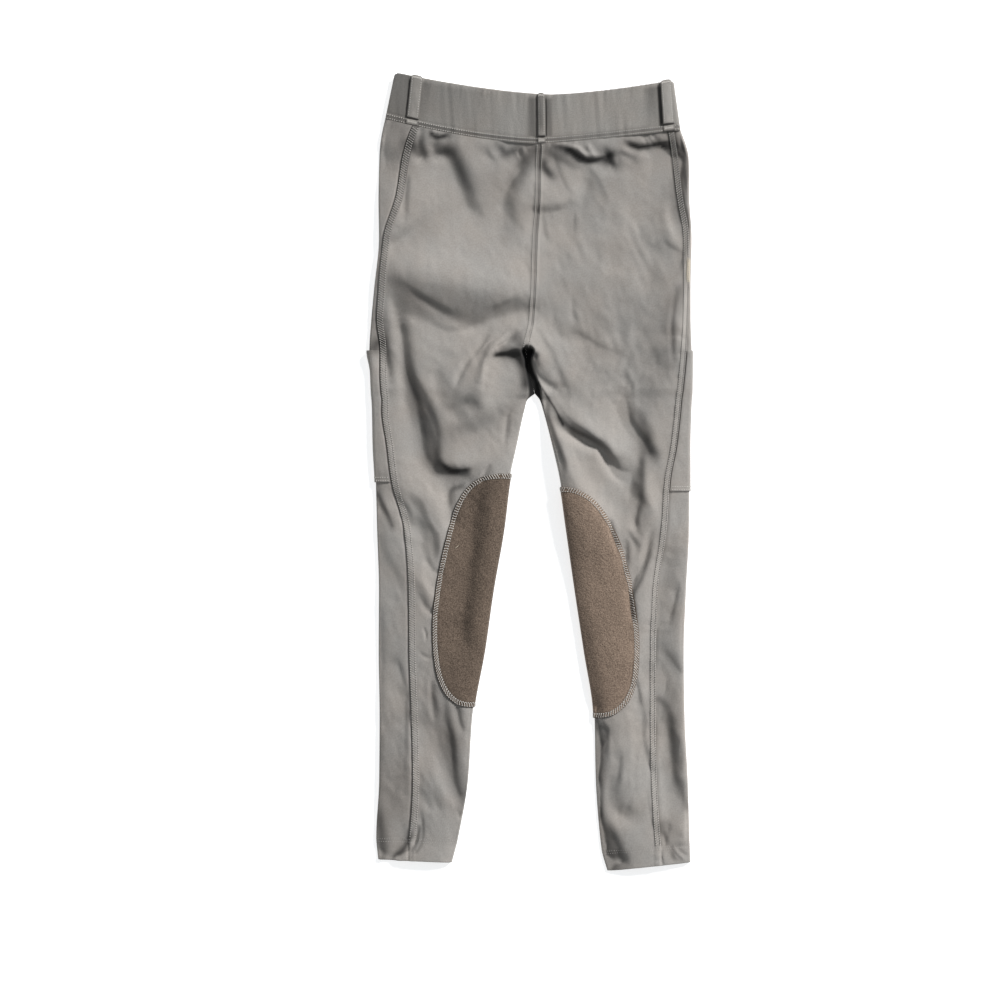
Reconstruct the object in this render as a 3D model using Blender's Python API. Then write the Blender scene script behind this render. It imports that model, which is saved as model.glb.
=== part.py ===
"""Youth pull-on riding breeches, laid flat and face down, so that the back shows.

+X runs across to the wearer's right, +Y runs up to the waist and +Z is up from the
surface that the cloth lies on. The origin is on that surface, under the middle of the outline.

Each half of the garment is a flattened tube of cloth. At every station along Y the tube has a
flat underside, a rounded fold at each edge and a top layer with the crown and the largest folds.
A panel is the stretch of that tube between two seams. A pocket or patch is made from the points
of the panel below it, moved out.
"""

import math
from bisect import bisect_right
from collections import namedtuple

import bmesh
import bpy

# ---------------------------------------------------------------- driving dimensions, millimetres
MM = 0.001                      # metres in a millimetre

CLOTH = 1.2                     # wall of the body cloth
SUEDE = 1.2                     # wall of a knee patch
BAND_CLOTH = 2.4                # waistband: elastic inside two layers of cloth
HEM_CLOTH = 1.8                 # hem band: two layers of cloth
LOOP_CLOTH = 1.5                # belt loop: a folded strip
SEAM_GAP = 0.3                  # between two pieces that are sewn together
LAYER_ROOM = 1.1                # least air between the top layer and the bottom layer

EDGE_RADIUS = 2.5               # how far an edge fold rounds inwards
EDGE_HEIGHT = 5.2               # height of the cloth at an edge fold
CROWN = 3.8                     # how much higher the cloth stands in the middle of a leg
CROWN_REACH = 26.0              # distance from an edge over which the crown rises

WAIST_Y = 360.0                 # waist seam at the centre back
WAIST_FADE = 60.0               # depth over which the curve of the waist seam dies out
HEM_Y = -405.0                  # nominal height of the hem band's seam
HEM_FADE = 60.0                 # depth over which the slant of the hem dies out
HEM_EDGE_Y = -432.0             # nominal height of the hem band's lower edge
CROTCH_Y = 87.0                 # lowest point of the crotch
CROTCH_CURL = 14.0              # depth over which the top layer turns down to the crotch
EDGE_STRIP = 8.0                # narrow strip of the back panel next to its inner edge
SIDE_UNDER = 32.0               # how far the side panel reaches under the leg

BAND_SPAN = (-157.5, 167.0)     # ends of the waistband at its seam
BAND_TOP_SPAN = (-147.0, 159.5)  # ends of the waistband at its top edge
BAND_TOP_Y = 413.6              # top edge of the waistband at its lowest point
BAND_TOP_X = 23.6               # where that lowest point is
BAND_HEIGHT = 7.6               # height of the flattened waistband
BAND_EDGE_RADIUS = 3.5
BAND_LIFT = LOOP_CLOTH + SEAM_GAP   # the waistband lies on its two front loops

LOOP_RISE = 4.6                 # how far a back loop stands off the waistband
LOOP_TACK = 4.0                 # length of a loop's sewn end
LOOP_RAMP = 5.5                 # length over which a loop leaves the waistband
LOOP_MARGIN = 3.0               # from a loop's ends to the waistband's edges

POCKET_MOUTH = 132.0            # both thigh pockets open at this height
POCKET_BOTTOM = {"left": -12.0, "right": -22.0}
POCKET_INSET = 1.5              # from a pocket's sides to the seams of the side panel
POCKET_GAPE = {"left": (3.1, 1.1), "right": (0.2, 0.0)}     # how far a mouth stands open, per station
UNDER_LAYER = SUEDE + SEAM_GAP  # a leg is lifted by the pocket and the patch under it
LIFT_RAMP = 22.0                # length over which a leg rises onto them

# ---------------------------------------------------------------- how finely it is built
LEAST_STATION = 6.0             # stations nearer than this are one station
MOST_STATION = 31.0             # longest step between two stations
WAIST_STATION = 14.0            # first station below the waist seam
CROTCH_STATION = 9.0            # first station below the crotch
FOLD_STEPS = 4                  # facets round an edge fold
NEAR_STEPS = 2                  # facets next to an edge fold
BACK_STEPS = 7                  # facets across a back panel
FRONT_STEPS = 2                 # facets across the flat underside of a front panel
PATCH_STEPS = 4                 # facets across the upper half of a knee patch
HEM_STEPS = (6, 4)              # facets across a hem band, above and below
BAND_STEPS = (16, 10)           # facets along the waistband, back and front
BAND_TURNS = (30.0, 60.0, 90.0)     # points round an end of the waistband, in degrees
SLOPE_STEP = 0.5                # reach to each side over which a slope is measured
SHARP_ANGLE = 50.0              # edges sharper than this many degrees stay crisp

# ---------------------------------------------------------------- tables
# One row for each section across the garment: its height, then the outer edge, side seam and
# inner edge of the left leg, and the same of the right leg. Above the crotch both inner edges
# are the centre seam.
Section = namedtuple("Section", "y outer_left seam_left inner_left inner_right seam_right outer_right")
SECTIONS = [
    Section(360, -157.5, -127.0, 12.5, 12.5, 158.0, 167.0),
    Section(331, -164.0, -139.0, 11.0, 11.0, 164.0, 176.5),
    Section(298, -165.0, -147.0, 10.5, 10.5, 166.5, 177.0),
    Section(257, -165.5, -159.5, 7.5, 7.5, 172.0, 178.0),
    Section(199, -170.0, -165.0, 5.5, 5.5, 172.5, 177.0),
    Section(166, -173.0, -167.0, 3.5, 3.5, 171.5, 177.5),
    Section(133, -175.0, -163.5, -3.0, -3.0, 170.0, 178.0),
    Section(109, -174.0, -163.5, 1.0, 1.0, 168.0, 178.0),
    Section(87, -173.0, -162.0, 7.0, 7.0, 165.5, 177.5),
    Section(78, -172.0, -161.0, -1.5, 12.5, 165.0, 177.0),
    Section(67, -171.5, -160.0, -5.5, 16.0, 164.0, 176.5),
    Section(28, -170.0, -154.5, -14.5, 26.0, 158.5, 175.5),
    Section(-10, -169.0, -150.0, -22.0, 34.5, 152.0, 175.5),
    Section(-65, -166.5, -137.0, -28.0, 42.5, 148.5, 175.5),
    Section(-131, -164.5, -132.0, -39.5, 52.0, 139.0, 172.5),
    Section(-197, -165.0, -131.5, -49.0, 62.0, 137.0, 170.0),
    Section(-268, -163.5, -129.0, -61.5, 71.5, 137.5, 170.5),
    Section(-340, -164.0, -127.5, -66.5, 75.5, 139.0, 173.5),
    Section(-405, -165.5, -131.5, -77.5, 83.5, 144.5, 176.0),
    Section(-432, -163.5, -140.0, -84.0, 88.5, 148.0, 177.5),
]

# Rise of a curved edge of the waistband from its lowest point to each end, and how fast it rises.
Rise = namedtuple("Rise", "centre left_end left_rise left_power right_end right_rise right_power")
WAIST_RISE = Rise(12.5, BAND_SPAN[0], 29.0, 1.5, BAND_SPAN[1], 16.0, 1.2)
TOP_RISE = Rise(BAND_TOP_X, BAND_TOP_SPAN[0], 25.3, 1.5, BAND_TOP_SPAN[1], 16.5, 1.5)

# The slanted hem of each leg: heights of its seam and of its lower edge at both edges of the leg.
HemLine = namedtuple("HemLine", "seam_outer seam_inner edge_outer edge_inner")
HEM_LINES = {
    "left": HemLine(-402.5, -404.0, -426.0, -430.0),
    "right": HemLine(-409.0, -417.0, -429.5, -439.4),
}

# The largest folds of the top layer: three points of each crest or trough, its half width, and
# how far it rises above the cloth or sinks into it.
Fold = namedtuple("Fold", "x0 y0 x1 y1 x2 y2 half_width rise")
FOLD_END = 0.35                 # share of a fold's rise that is left at its ends
FOLDS = {
    "seat_swell_left": Fold(-120, 264, -80, 262, -30, 252, 36, 2.4),
    "seat_swell_right": Fold(50, 262, 95, 245, 140, 225, 40, 1.4),
    "seat_fold_left": Fold(-151, 217, -88, 174, -14, 186, 15, -3.4),
    "waist_fold_left": Fold(-93, 352, -75, 318, -58, 279, 13, -3.0),
    "waist_fold_centre": Fold(3, 345, -15, 322, -24, 293, 13, -2.2),
    "waist_fold_right": Fold(32, 350, 57, 338, 78, 342, 8, -2.8),
    "thigh_trough_left": Fold(-138, 164, -115, 70, -97, 10, 15, -4.0),
    "thigh_hook_left": Fold(-97, 14, -85, 3, -66, 1, 11, -3.0),
    "thigh_ridge_left": Fold(-146, 150, -140, 90, -124, 34, 9, 2.2),
    "crotch_ridge_left": Fold(1, 170, -37, 128, -72, 106, 11, 3.2),
    "crotch_valley": Fold(-4, 130, 1, 108, 7, 88, 6, -4.6),
    "thigh_fold_right": Fold(8, 128, 34, 52, 107, 4, 10, -3.2),
    "thigh_ridge_right": Fold(18, 112, 62, 60, 122, 28, 13, 2.2),
    "knee_fold_right": Fold(110, 74, 126, 44, 141, 14, 10, -2.6),
    "calf_fold_right": Fold(126, 4, 117, -26, 123, -65, 10, -2.4),
    "calf_fold_left": Fold(-119, -28, -105, -60, -96, -94, 10, -2.0),
    "ankle_fold_left": Fold(-93, -255, -86, -300, -72, -355, 11, -2.6),
    "ankle_ripple_left": Fold(-119, -310, -108, -342, -101, -373, 9, -1.8),
    "ankle_fold_right": Fold(92, -285, 93, -320, 96, -352, 9, -2.0),
    "ankle_crease_right": Fold(147, -256, 157, -307, 163, -356, 9, -1.8),
}

# Knee patches: top and bottom ends, half of the cut width, and how square each end is cut.
Patch = namedtuple("Patch", "top bottom half_width top_power bottom_power")
PATCHES = {
    "left": Patch(-3.5, -259.0, 60.0, 3.2, 2.2),
    "right": Patch(-18.0, -271.0, 60.0, 2.2, 2.3),
}
PATCH_END = 0.055               # share of a patch's width that is left at its flat-cut ends
PATCH_CORNERS = (0.045, 0.14)   # stations that round its corners, as shares of its length

# Belt loops: middle of the lower and the upper end, width, and whether it lies under the front.
Loop = namedtuple("Loop", "x_low x_high width in_front")
LOOPS = {
    "belt_loop_left": Loop(-128.5, -122.5, 12.5, False),
    "belt_loop_centre": Loop(14.5, 14.0, 9.5, False),
    "belt_loop_right": Loop(155.0, 151.5, 12.5, False),
    "belt_loop_front_left": Loop(-72.0, -69.0, 12.5, True),
    "belt_loop_front_right": Loop(92.0, 88.0, 12.5, True),
}

Finish = namedtuple("Finish", "name color roughness")
CLOTH_FINISH = Finish("stretch_cloth", (0.40, 0.37, 0.345, 1.0), 0.8)
BAND_FINISH = Finish("waistband_cloth", (0.30, 0.28, 0.26, 1.0), 0.8)
SUEDE_FINISH = Finish("suede", (0.155, 0.112, 0.082, 1.0), 0.95)

Stop = namedtuple("Stop", "x y z nx nz")    # a point of the cloth's outside and the way out of it


# ---------------------------------------------------------------- curves
def clamp(value, low=0.0, high=1.0):
    return max(low, min(high, value))


def smooth_step(value):
    value = clamp(value)
    return value * value * (3.0 - 2.0 * value)


def monotone_curve(places, values):
    """A smooth curve through the points that never overshoots between them."""
    spans = [after - before for before, after in zip(places, places[1:])]
    slopes = [(after - before) / span for before, after, span in zip(values, values[1:], spans)]
    tangents = [slopes[0]]
    for left, right in zip(slopes, slopes[1:]):
        same_way = left * right > 0.0
        tangents.append(2.0 * left * right / (left + right) if same_way else 0.0)
    tangents.append(slopes[-1])

    def value_at(place):
        index = min(max(bisect_right(places, place) - 1, 0), len(spans) - 1)
        t = clamp((place - places[index]) / spans[index])
        ease = smooth_step(t)
        start_pull = t * (1.0 - t) ** 2 * tangents[index]
        end_pull = t * t * (t - 1.0) * tangents[index + 1]
        straight = values[index] * (1.0 - ease) + values[index + 1] * ease
        return straight + spans[index] * (start_pull + end_pull)

    return value_at


def section_curve(column, lowest=-math.inf, highest=math.inf):
    rows = sorted(row for row in SECTIONS if lowest <= row.y <= highest)
    return monotone_curve([row.y for row in rows], [getattr(row, column) for row in rows])


def inner_curve(column):
    """The centre seam down to the crotch, and the leg's inner edge below it."""
    seam = section_curve(column, lowest=CROTCH_Y)
    leg = section_curve(column, highest=CROTCH_Y)
    return lambda y: seam(y) if y >= CROTCH_Y else leg(y)


EDGE = {
    column: inner_curve(column) if column.startswith("inner") else section_curve(column)
    for column in Section._fields[1:]
}


def curved_rise(rise, x):
    """How far an edge of the waistband has risen at x."""
    if x < rise.centre:
        share = (rise.centre - x) / (rise.centre - rise.left_end)
        return rise.left_rise * share ** rise.left_power
    share = (x - rise.centre) / (rise.right_end - rise.centre)
    return rise.right_rise * share ** rise.right_power


def waist_seam_y(x):
    return WAIST_Y + curved_rise(WAIST_RISE, x)


def band_top_y(x):
    return BAND_TOP_Y + curved_rise(TOP_RISE, x)


def hem_y(side, x, at_edge):
    """Height of the hem's seam, or of its lower edge, at x."""
    line = HEM_LINES[side]
    outer = EDGE["outer_" + side](HEM_Y)
    inner = EDGE["inner_" + side](HEM_Y)
    share = clamp((x - outer) / (inner - outer))
    if at_edge:
        return line.edge_outer + (line.edge_inner - line.edge_outer) * share
    return line.seam_outer + (line.seam_inner - line.seam_outer) * share


def true_y(side, x, station):
    """Height of a point of a station, which bends with the waist seam and slants with the hem."""
    waist_share = smooth_step(1.0 - (WAIST_Y - station) / WAIST_FADE)
    hem_share = smooth_step(1.0 - (station - HEM_Y) / HEM_FADE)
    bend = (waist_seam_y(x) - WAIST_Y) * waist_share
    slant = (hem_y(side, x, False) - HEM_Y) * hem_share
    return station + bend + slant


# ---------------------------------------------------------------- height of the top layer
def lift(side, y):
    """How far a leg is lifted by the pocket and the patch that lie under it."""
    bottom = PATCHES[side].bottom
    rise_below_top = smooth_step((POCKET_MOUTH + LIFT_RAMP - y) / LIFT_RAMP)
    rise_above_bottom = smooth_step((y - bottom + LIFT_RAMP) / LIFT_RAMP)
    return UNDER_LAYER * rise_below_top * rise_above_bottom


def fold_rise(fold, x, y):
    """Height that one fold adds at a point: a soft profile round a bent line, tapered at its ends."""
    points = ((fold.x0, fold.y0), (fold.x1, fold.y1), (fold.x2, fold.y2))
    nearest = float("inf")
    along = 0.0
    for part, (start, end) in enumerate(zip(points, points[1:])):
        dx = end[0] - start[0]
        dy = end[1] - start[1]
        t = clamp(((x - start[0]) * dx + (y - start[1]) * dy) / (dx * dx + dy * dy))
        distance = math.hypot(x - start[0] - t * dx, y - start[1] - t * dy)
        if distance < nearest:
            nearest = distance
            along = (part + t) / 2.0
    profile = math.exp(-((nearest / fold.half_width) ** 2))
    taper = FOLD_END + (1.0 - FOLD_END) * math.sin(math.pi * along)
    return fold.rise * profile * taper


def top_z(side, x, y):
    """Height of the outside of the top layer."""
    from_outer = abs(x - EDGE["outer_" + side](y))
    crown = 1.0 - math.exp(-from_outer / CROWN_REACH)
    open_leg = smooth_step((CROTCH_Y + CROTCH_CURL - y) / (2.0 * CROTCH_CURL))
    from_inner = abs(x - EDGE["inner_" + side](y))
    crown *= 1.0 - open_leg * math.exp(-from_inner / CROWN_REACH)
    height = EDGE_HEIGHT + CROWN * crown
    height += sum(fold_rise(fold, x, y) for fold in FOLDS.values())
    return lift(side, y) + max(height, 2.0 * CLOTH + LAYER_ROOM)


# ---------------------------------------------------------------- the flattened tube of a leg
EdgeFold = namedtuple("EdgeFold", "bend_x inwards top_height base_height turn_length")


def edge_fold(side, edge, station):
    """The rounded fold at one edge of a leg: where it starts to bend, and its size."""
    inwards = 1.0 if (side == "left") == (edge == "outer") else -1.0
    extreme = EDGE[edge + "_" + side](station)
    bend_x = extreme + inwards * EDGE_RADIUS
    if edge == "inner" and station >= CROTCH_Y:
        turned = math.sin(0.5 * math.pi * crotch_turn(station))
        bend_x = extreme + inwards * (SEAM_GAP / 2.0 + EDGE_RADIUS * turned)
    top = top_z(side, bend_x, true_y(side, bend_x, station))
    base = lift(side, station)
    semi_height = (top - base) / 2.0
    turn_length = math.pi * math.sqrt((EDGE_RADIUS ** 2 + semi_height ** 2) / 2.0)
    return EdgeFold(bend_x, inwards, top, base, turn_length)


def crotch_turn(station):
    """How much of a quarter turn the top layer has made where it comes down to the crotch."""
    return smooth_step((CROTCH_Y + CROTCH_CURL - station) / CROTCH_CURL)


def inseam_places(station, turn_length):
    """Where the back and the front panel end, measured round the inner fold from its top.

    Above the crotch they end flat at the centre seam, and in the leg they meet half way round.
    """
    turned = crotch_turn(station) * (turn_length - SEAM_GAP) / 2.0
    return turned, turn_length - turned


def cloth_stop(side, fold, station, place):
    """Point of the tube's outside at a distance round an edge fold.

    A negative place is on the top layer, and one past the turn's length is on the underside.
    """
    if place < 0.0:
        x = fold.bend_x - fold.inwards * place
        y = true_y(side, x, station)
        rise = top_z(side, x + SLOPE_STEP, y) - top_z(side, x - SLOPE_STEP, y)
        slope = rise / (2.0 * SLOPE_STEP)
        length = math.hypot(slope, 1.0)
        return Stop(x, y, top_z(side, x, y), -slope / length, 1.0 / length)
    if place > fold.turn_length:
        x = fold.bend_x + fold.inwards * (place - fold.turn_length)
        return Stop(x, true_y(side, x, station), fold.base_height, 0.0, -1.0)
    angle = math.pi * place / fold.turn_length
    semi_height = (fold.top_height - fold.base_height) / 2.0
    x = fold.bend_x - fold.inwards * EDGE_RADIUS * math.sin(angle)
    z = fold.base_height + semi_height * (1.0 + math.cos(angle))
    nx = -fold.inwards * math.sin(angle) / EDGE_RADIUS
    nz = math.cos(angle) / semi_height
    length = math.hypot(nx, nz)
    return Stop(x, true_y(side, x, station), z, nx / length, nz / length)


def spread(start, end, steps):
    return [start + (end - start) * index / steps for index in range(steps + 1)]


def round_fold(fold):
    """Places round an edge fold, from its top to its underside."""
    return spread(0.0, fold.turn_length, FOLD_STEPS)


def seam_place(side, fold, station):
    """Place of the side seam, measured from the outer fold."""
    seam = EDGE["seam_" + side](station)
    return -abs(seam - fold.bend_x)


def side_panel_row(side, station):
    fold = edge_fold(side, "outer", station)
    start = seam_place(side, fold, station) + SEAM_GAP / 2.0
    places = spread(start, 0.0, NEAR_STEPS)[:-1] + round_fold(fold)
    places.append(fold.turn_length + SIDE_UNDER)
    return [cloth_stop(side, fold, station, place) for place in places]


def back_panel_row(side, station):
    outer = edge_fold(side, "outer", station)
    inner = edge_fold(side, "inner", station)
    seam_x = outer.bend_x - outer.inwards * (seam_place(side, outer, station) - SEAM_GAP / 2.0)
    start = -abs(seam_x - inner.bend_x)
    last = inseam_places(station, inner.turn_length)[0]
    flat = spread(-EDGE_STRIP, last, NEAR_STEPS + 1)
    turned = [-EDGE_STRIP] + spread(0.0, last, NEAR_STEPS)
    turn = crotch_turn(station)
    near_edge = [a * (1.0 - turn) + b * turn for a, b in zip(flat, turned)]
    places = spread(start, -EDGE_STRIP, BACK_STEPS)[:-1] + near_edge
    return [cloth_stop(side, inner, station, place) for place in places]


def front_panel_row(side, station):
    outer = edge_fold(side, "outer", station)
    inner = edge_fold(side, "inner", station)
    edge_x = outer.bend_x + outer.inwards * (SIDE_UNDER + SEAM_GAP)
    start = inner.turn_length + abs(edge_x - inner.bend_x)
    last = inseam_places(station, inner.turn_length)[1]
    near = inner.turn_length + EDGE_STRIP
    flat = spread(near, last, NEAR_STEPS + 1)
    turned = [near] + spread(inner.turn_length, last, NEAR_STEPS)
    turn = crotch_turn(station)
    near_edge = [a * (1.0 - turn) + b * turn for a, b in zip(flat, turned)]
    places = spread(start, near, FRONT_STEPS)[:-1] + near_edge
    return [cloth_stop(side, inner, station, place) for place in places]


def hem_band_row(side, station, at_edge):
    """All round the ankle, in order: top layer, outer fold, underside, inner fold."""
    outer = edge_fold(side, "outer", station)
    inner = edge_fold(side, "inner", station)
    width = abs(outer.bend_x - inner.bend_x)
    across = [-width * share for share in spread(1.0, 0.0, HEM_STEPS[0])]
    stops = [cloth_stop(side, outer, station, place) for place in across[:-1] + round_fold(outer)]
    under = [inner.turn_length + width * share for share in spread(1.0, 0.0, HEM_STEPS[1])]
    around = under[1:-1] + round_fold(inner)[::-1]
    stops += [cloth_stop(side, inner, station, place) for place in around[:-1]]
    shift = -SEAM_GAP if not at_edge else 0.0
    return [stop._replace(y=hem_y(side, stop.x, at_edge) + shift) for stop in stops]


# ---------------------------------------------------------------- stations along each leg
def patch_stations(side):
    patch = PATCHES[side]
    shares = [0.0, *PATCH_CORNERS, *(1.0 - share for share in reversed(PATCH_CORNERS)), 1.0]
    return [patch.top + (patch.bottom - patch.top) * share for share in shares]


def leg_stations(side):
    """Every station of a leg, from the waist seam down to the hem's seam."""
    fixed = [WAIST_Y, POCKET_MOUTH, CROTCH_Y, POCKET_BOTTOM[side], *patch_stations(side), HEM_Y]
    curl = [CROTCH_Y + CROTCH_CURL, CROTCH_Y + CROTCH_CURL / 2.0, CROTCH_Y - CROTCH_STATION]
    stations = list(fixed)
    for y in [WAIST_Y - WAIST_STATION, *curl]:
        if min(abs(y - other) for other in stations) >= LEAST_STATION:
            stations.append(y)
    stations.sort(reverse=True)
    filled = [stations[0]]
    for y in stations[1:]:
        steps = math.ceil((filled[-1] - y) / MOST_STATION)
        filled += spread(filled[-1], y, steps)[1:]
    return filled


# ---------------------------------------------------------------- walls of cloth
def moved_out(stop, distance):
    return (stop.x + stop.nx * distance, stop.y, stop.z + stop.nz * distance)


def build_wall(name, rows, inside, outside, finish, ring=False):
    """A closed wall between two distances from the rows' points.

    inside and outside are distances in millimetres, or functions of a row and a column.
    """
    columns = len(rows[0])

    def distance(value, row, column):
        return value(row, column) if callable(value) else value

    mesh = bmesh.new()
    layers = []
    for value in (outside, inside):
        layer = []
        for i, row in enumerate(rows):
            points = [moved_out(stop, distance(value, i, j)) for j, stop in enumerate(row)]
            layer.append([mesh.verts.new([c * MM for c in point]) for point in points])
        layers.append(layer)
    outer, inner = layers
    steps = [(j, (j + 1) % columns) for j in range(columns if ring else columns - 1)]
    for i in range(len(rows) - 1):
        for j, k in steps:
            for layer in layers:
                mesh.faces.new((layer[i][j], layer[i][k], layer[i + 1][k]))
                mesh.faces.new((layer[i][j], layer[i + 1][k], layer[i + 1][j]))
    for i in (0, len(rows) - 1):
        for j, k in steps:
            mesh.faces.new((outer[i][j], outer[i][k], inner[i][k], inner[i][j]))
    if not ring:
        for j in (0, columns - 1):
            for i in range(len(rows) - 1):
                mesh.faces.new((outer[i][j], outer[i + 1][j], inner[i + 1][j], inner[i][j]))
    bmesh.ops.recalc_face_normals(mesh, faces=mesh.faces)
    return add_object(name, mesh, finish)


def add_object(name, mesh, finish):
    data = bpy.data.meshes.new(name)
    mesh.to_mesh(data)
    mesh.free()
    data.shade_smooth()
    data.set_sharp_from_angle(angle=math.radians(SHARP_ANGLE))
    data.materials.append(make_material(name, finish))
    thing = bpy.data.objects.new(name, data)
    bpy.context.scene.collection.objects.link(thing)
    return thing


def make_material(name, finish):
    material = bpy.data.materials.new(finish.name + "_" + name)
    material.use_nodes = True
    shader = material.node_tree.nodes["Principled BSDF"]
    shader.inputs["Base Color"].default_value = finish.color
    shader.inputs["Roughness"].default_value = finish.roughness
    shader.inputs["Metallic"].default_value = 0.0
    return material


# ---------------------------------------------------------------- pieces of each half
def build_panels(side):
    stations = leg_stations(side)
    makers = {"back_panel_": back_panel_row, "side_panel_": side_panel_row, "front_panel_": front_panel_row}
    for name, make_row in makers.items():
        rows = [make_row(side, station) for station in stations]
        build_wall(name + side, rows, -CLOTH, 0.0, CLOTH_FINISH)


def build_thigh_pocket(side):
    """The pocket lies on the side panel. The mouth of the left one gapes a little."""
    stations = [y for y in leg_stations(side) if POCKET_BOTTOM[side] <= y <= POCKET_MOUTH]
    rows = []
    for station in stations:
        fold = edge_fold(side, "outer", station)
        start = seam_place(side, fold, station) + POCKET_INSET
        places = spread(start, 0.0, NEAR_STEPS)[:-1] + round_fold(fold)
        places.append(fold.turn_length + SIDE_UNDER - POCKET_INSET)
        rows.append([cloth_stop(side, fold, station, place) for place in places])
    gape = POCKET_GAPE[side]
    open_columns = range(1, NEAR_STEPS + FOLD_STEPS - 1)

    def stand_off(row, column):
        opened = gape[row] if row < len(gape) and column in open_columns else 0.0
        return SEAM_GAP + opened

    build_wall("thigh_pocket_" + side, rows, stand_off,
               lambda row, column: stand_off(row, column) + CLOTH, CLOTH_FINISH)


def patch_half_width(patch, y):
    """Reach of a knee patch from the inner fold: a long rounded shape with its own end curves."""
    from_middle = 1.0 - 2.0 * (patch.top - y) / (patch.top - patch.bottom)
    power = patch.top_power if from_middle > 0.0 else patch.bottom_power
    share = max(1.0 - abs(from_middle) ** power, PATCH_END) ** (1.0 / power)
    return patch.half_width * share


def build_knee_patch(side):
    """The suede patch wraps the inner knee, as far over the leg as under it."""
    patch = PATCHES[side]
    stations = [y for y in leg_stations(side) if patch.bottom <= y <= patch.top]
    rows = []
    for station in stations:
        fold = edge_fold(side, "inner", station)
        reach = patch_half_width(patch, station)
        places = spread(-reach, -EDGE_STRIP, PATCH_STEPS) + round_fold(fold)
        places += [fold.turn_length + reach * share for share in (0.5, 1.0)]
        rows.append([cloth_stop(side, fold, station, place) for place in places])
    build_wall("knee_patch_" + side, rows, SEAM_GAP, SEAM_GAP + SUEDE, SUEDE_FINISH)


def build_hem_band(side):
    rows = [hem_band_row(side, HEM_Y, False), hem_band_row(side, HEM_EDGE_Y, True)]
    middle = [a._replace(x=(a.x + b.x) / 2.0, y=(a.y + b.y) / 2.0, z=(a.z + b.z) / 2.0)
              for a, b in zip(*rows)]
    build_wall("hem_band_" + side, [rows[0], middle, rows[1]], -HEM_CLOTH, 0.0, CLOTH_FINISH, ring=True)


# ---------------------------------------------------------------- waistband and its loops
def band_point(share, x, z, nx, nz):
    """A point of the waistband at a share of its depth, from its seam to its top edge."""
    low = waist_seam_y(x) + SEAM_GAP
    return Stop(x, low + (band_top_y(x) - low) * share, z, nx, nz)


def band_edges(share):
    """Both ends of the flattened waistband at a share of its depth."""
    return [low + (high - low) * share for low, high in zip(BAND_SPAN, BAND_TOP_SPAN)]


def band_row(share, upper):
    """The back half of the waistband is its upper half, with half of each edge fold."""
    left, right = band_edges(share)
    radius = BAND_EDGE_RADIUS
    semi_height = BAND_HEIGHT / 2.0
    middle_z = BAND_LIFT + semi_height
    way = 1.0 if upper else -1.0
    short = SEAM_GAP / 2.0 / semi_height
    turns = [short, *(math.radians(turn) for turn in BAND_TURNS)]
    stops = []
    for angle in turns:
        x = left + radius * (1.0 - math.cos(angle))
        z = middle_z + way * semi_height * math.sin(angle)
        stops.append(band_point(share, x, z, -math.cos(angle), way * math.sin(angle)))
    steps = BAND_STEPS[0] if upper else BAND_STEPS[1]
    for x in spread(left + radius, right - radius, steps)[1:-1]:
        stops.append(band_point(share, x, middle_z + way * semi_height, 0.0, way))
    for angle in reversed(turns):
        x = right - radius * (1.0 - math.cos(angle))
        z = middle_z + way * semi_height * math.sin(angle)
        stops.append(band_point(share, x, z, math.cos(angle), way * math.sin(angle)))
    return stops


def build_waistband():
    shares = spread(0.0, 1.0, 3)
    for name, upper in (("waistband_back", True), ("waistband_front", False)):
        rows = [band_row(share, upper) for share in shares]
        build_wall(name, rows, -BAND_CLOTH, 0.0, BAND_FINISH)


def loop_stand_off(along, length, rise):
    """How far a loop stands off the waistband at a distance along it."""
    from_end = min(along, length - along)
    return SEAM_GAP + rise * smooth_step((from_end - LOOP_TACK) / LOOP_RAMP)


def build_belt_loop(name, loop):
    """A folded strip, tacked at both ends and standing off the waistband between them."""
    surface = BAND_LIFT if loop.in_front else BAND_LIFT + BAND_HEIGHT
    way = -1.0 if loop.in_front else 1.0
    low_y = waist_seam_y(loop.x_low) + LOOP_MARGIN
    length = band_top_y(loop.x_high) - LOOP_MARGIN - low_y
    turn = LOOP_TACK + LOOP_RAMP
    places = [0.0, LOOP_TACK, LOOP_TACK + LOOP_RAMP / 2.0, turn, length / 2.0]
    places += [length - place for place in reversed(places[:-1])]
    rise = 0.0 if loop.in_front else LOOP_RISE
    rows = []
    for along in places:
        share = along / length
        x = loop.x_low + (loop.x_high - loop.x_low) * share
        z = surface + way * loop_stand_off(along, length, rise)
        sides = [x - loop.width / 2.0, x, x + loop.width / 2.0]
        rows.append([Stop(side_x, low_y + along, z, 0.0, way) for side_x in sides])
    build_wall(name, rows, 0.0, LOOP_CLOTH, BAND_FINISH)


# ---------------------------------------------------------------- the whole garment
def main():
    for thing in list(bpy.data.objects):
        bpy.data.objects.remove(thing, do_unlink=True)
    build_waistband()
    for name, loop in LOOPS.items():
        build_belt_loop(name, loop)
    for side in ("left", "right"):
        build_panels(side)
        build_thigh_pocket(side)
        build_knee_patch(side)
        build_hem_band(side)


main()
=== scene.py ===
# %% [markdown]
# # Riding breeches, laid flat on their front
# This script dresses the imported part as real cloth: stretch panels, an elastic waistband,
# suede knee patches and rows of coverstitch. Lengths are in millimetres until a mesh is made.
# Start by loading the imported part. Each of its solids will be replaced by a sheet of cloth that
# is named after it and has the same place and the same size, with the finer creases added.

# %% Load the part
import math
from collections import namedtuple

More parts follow.
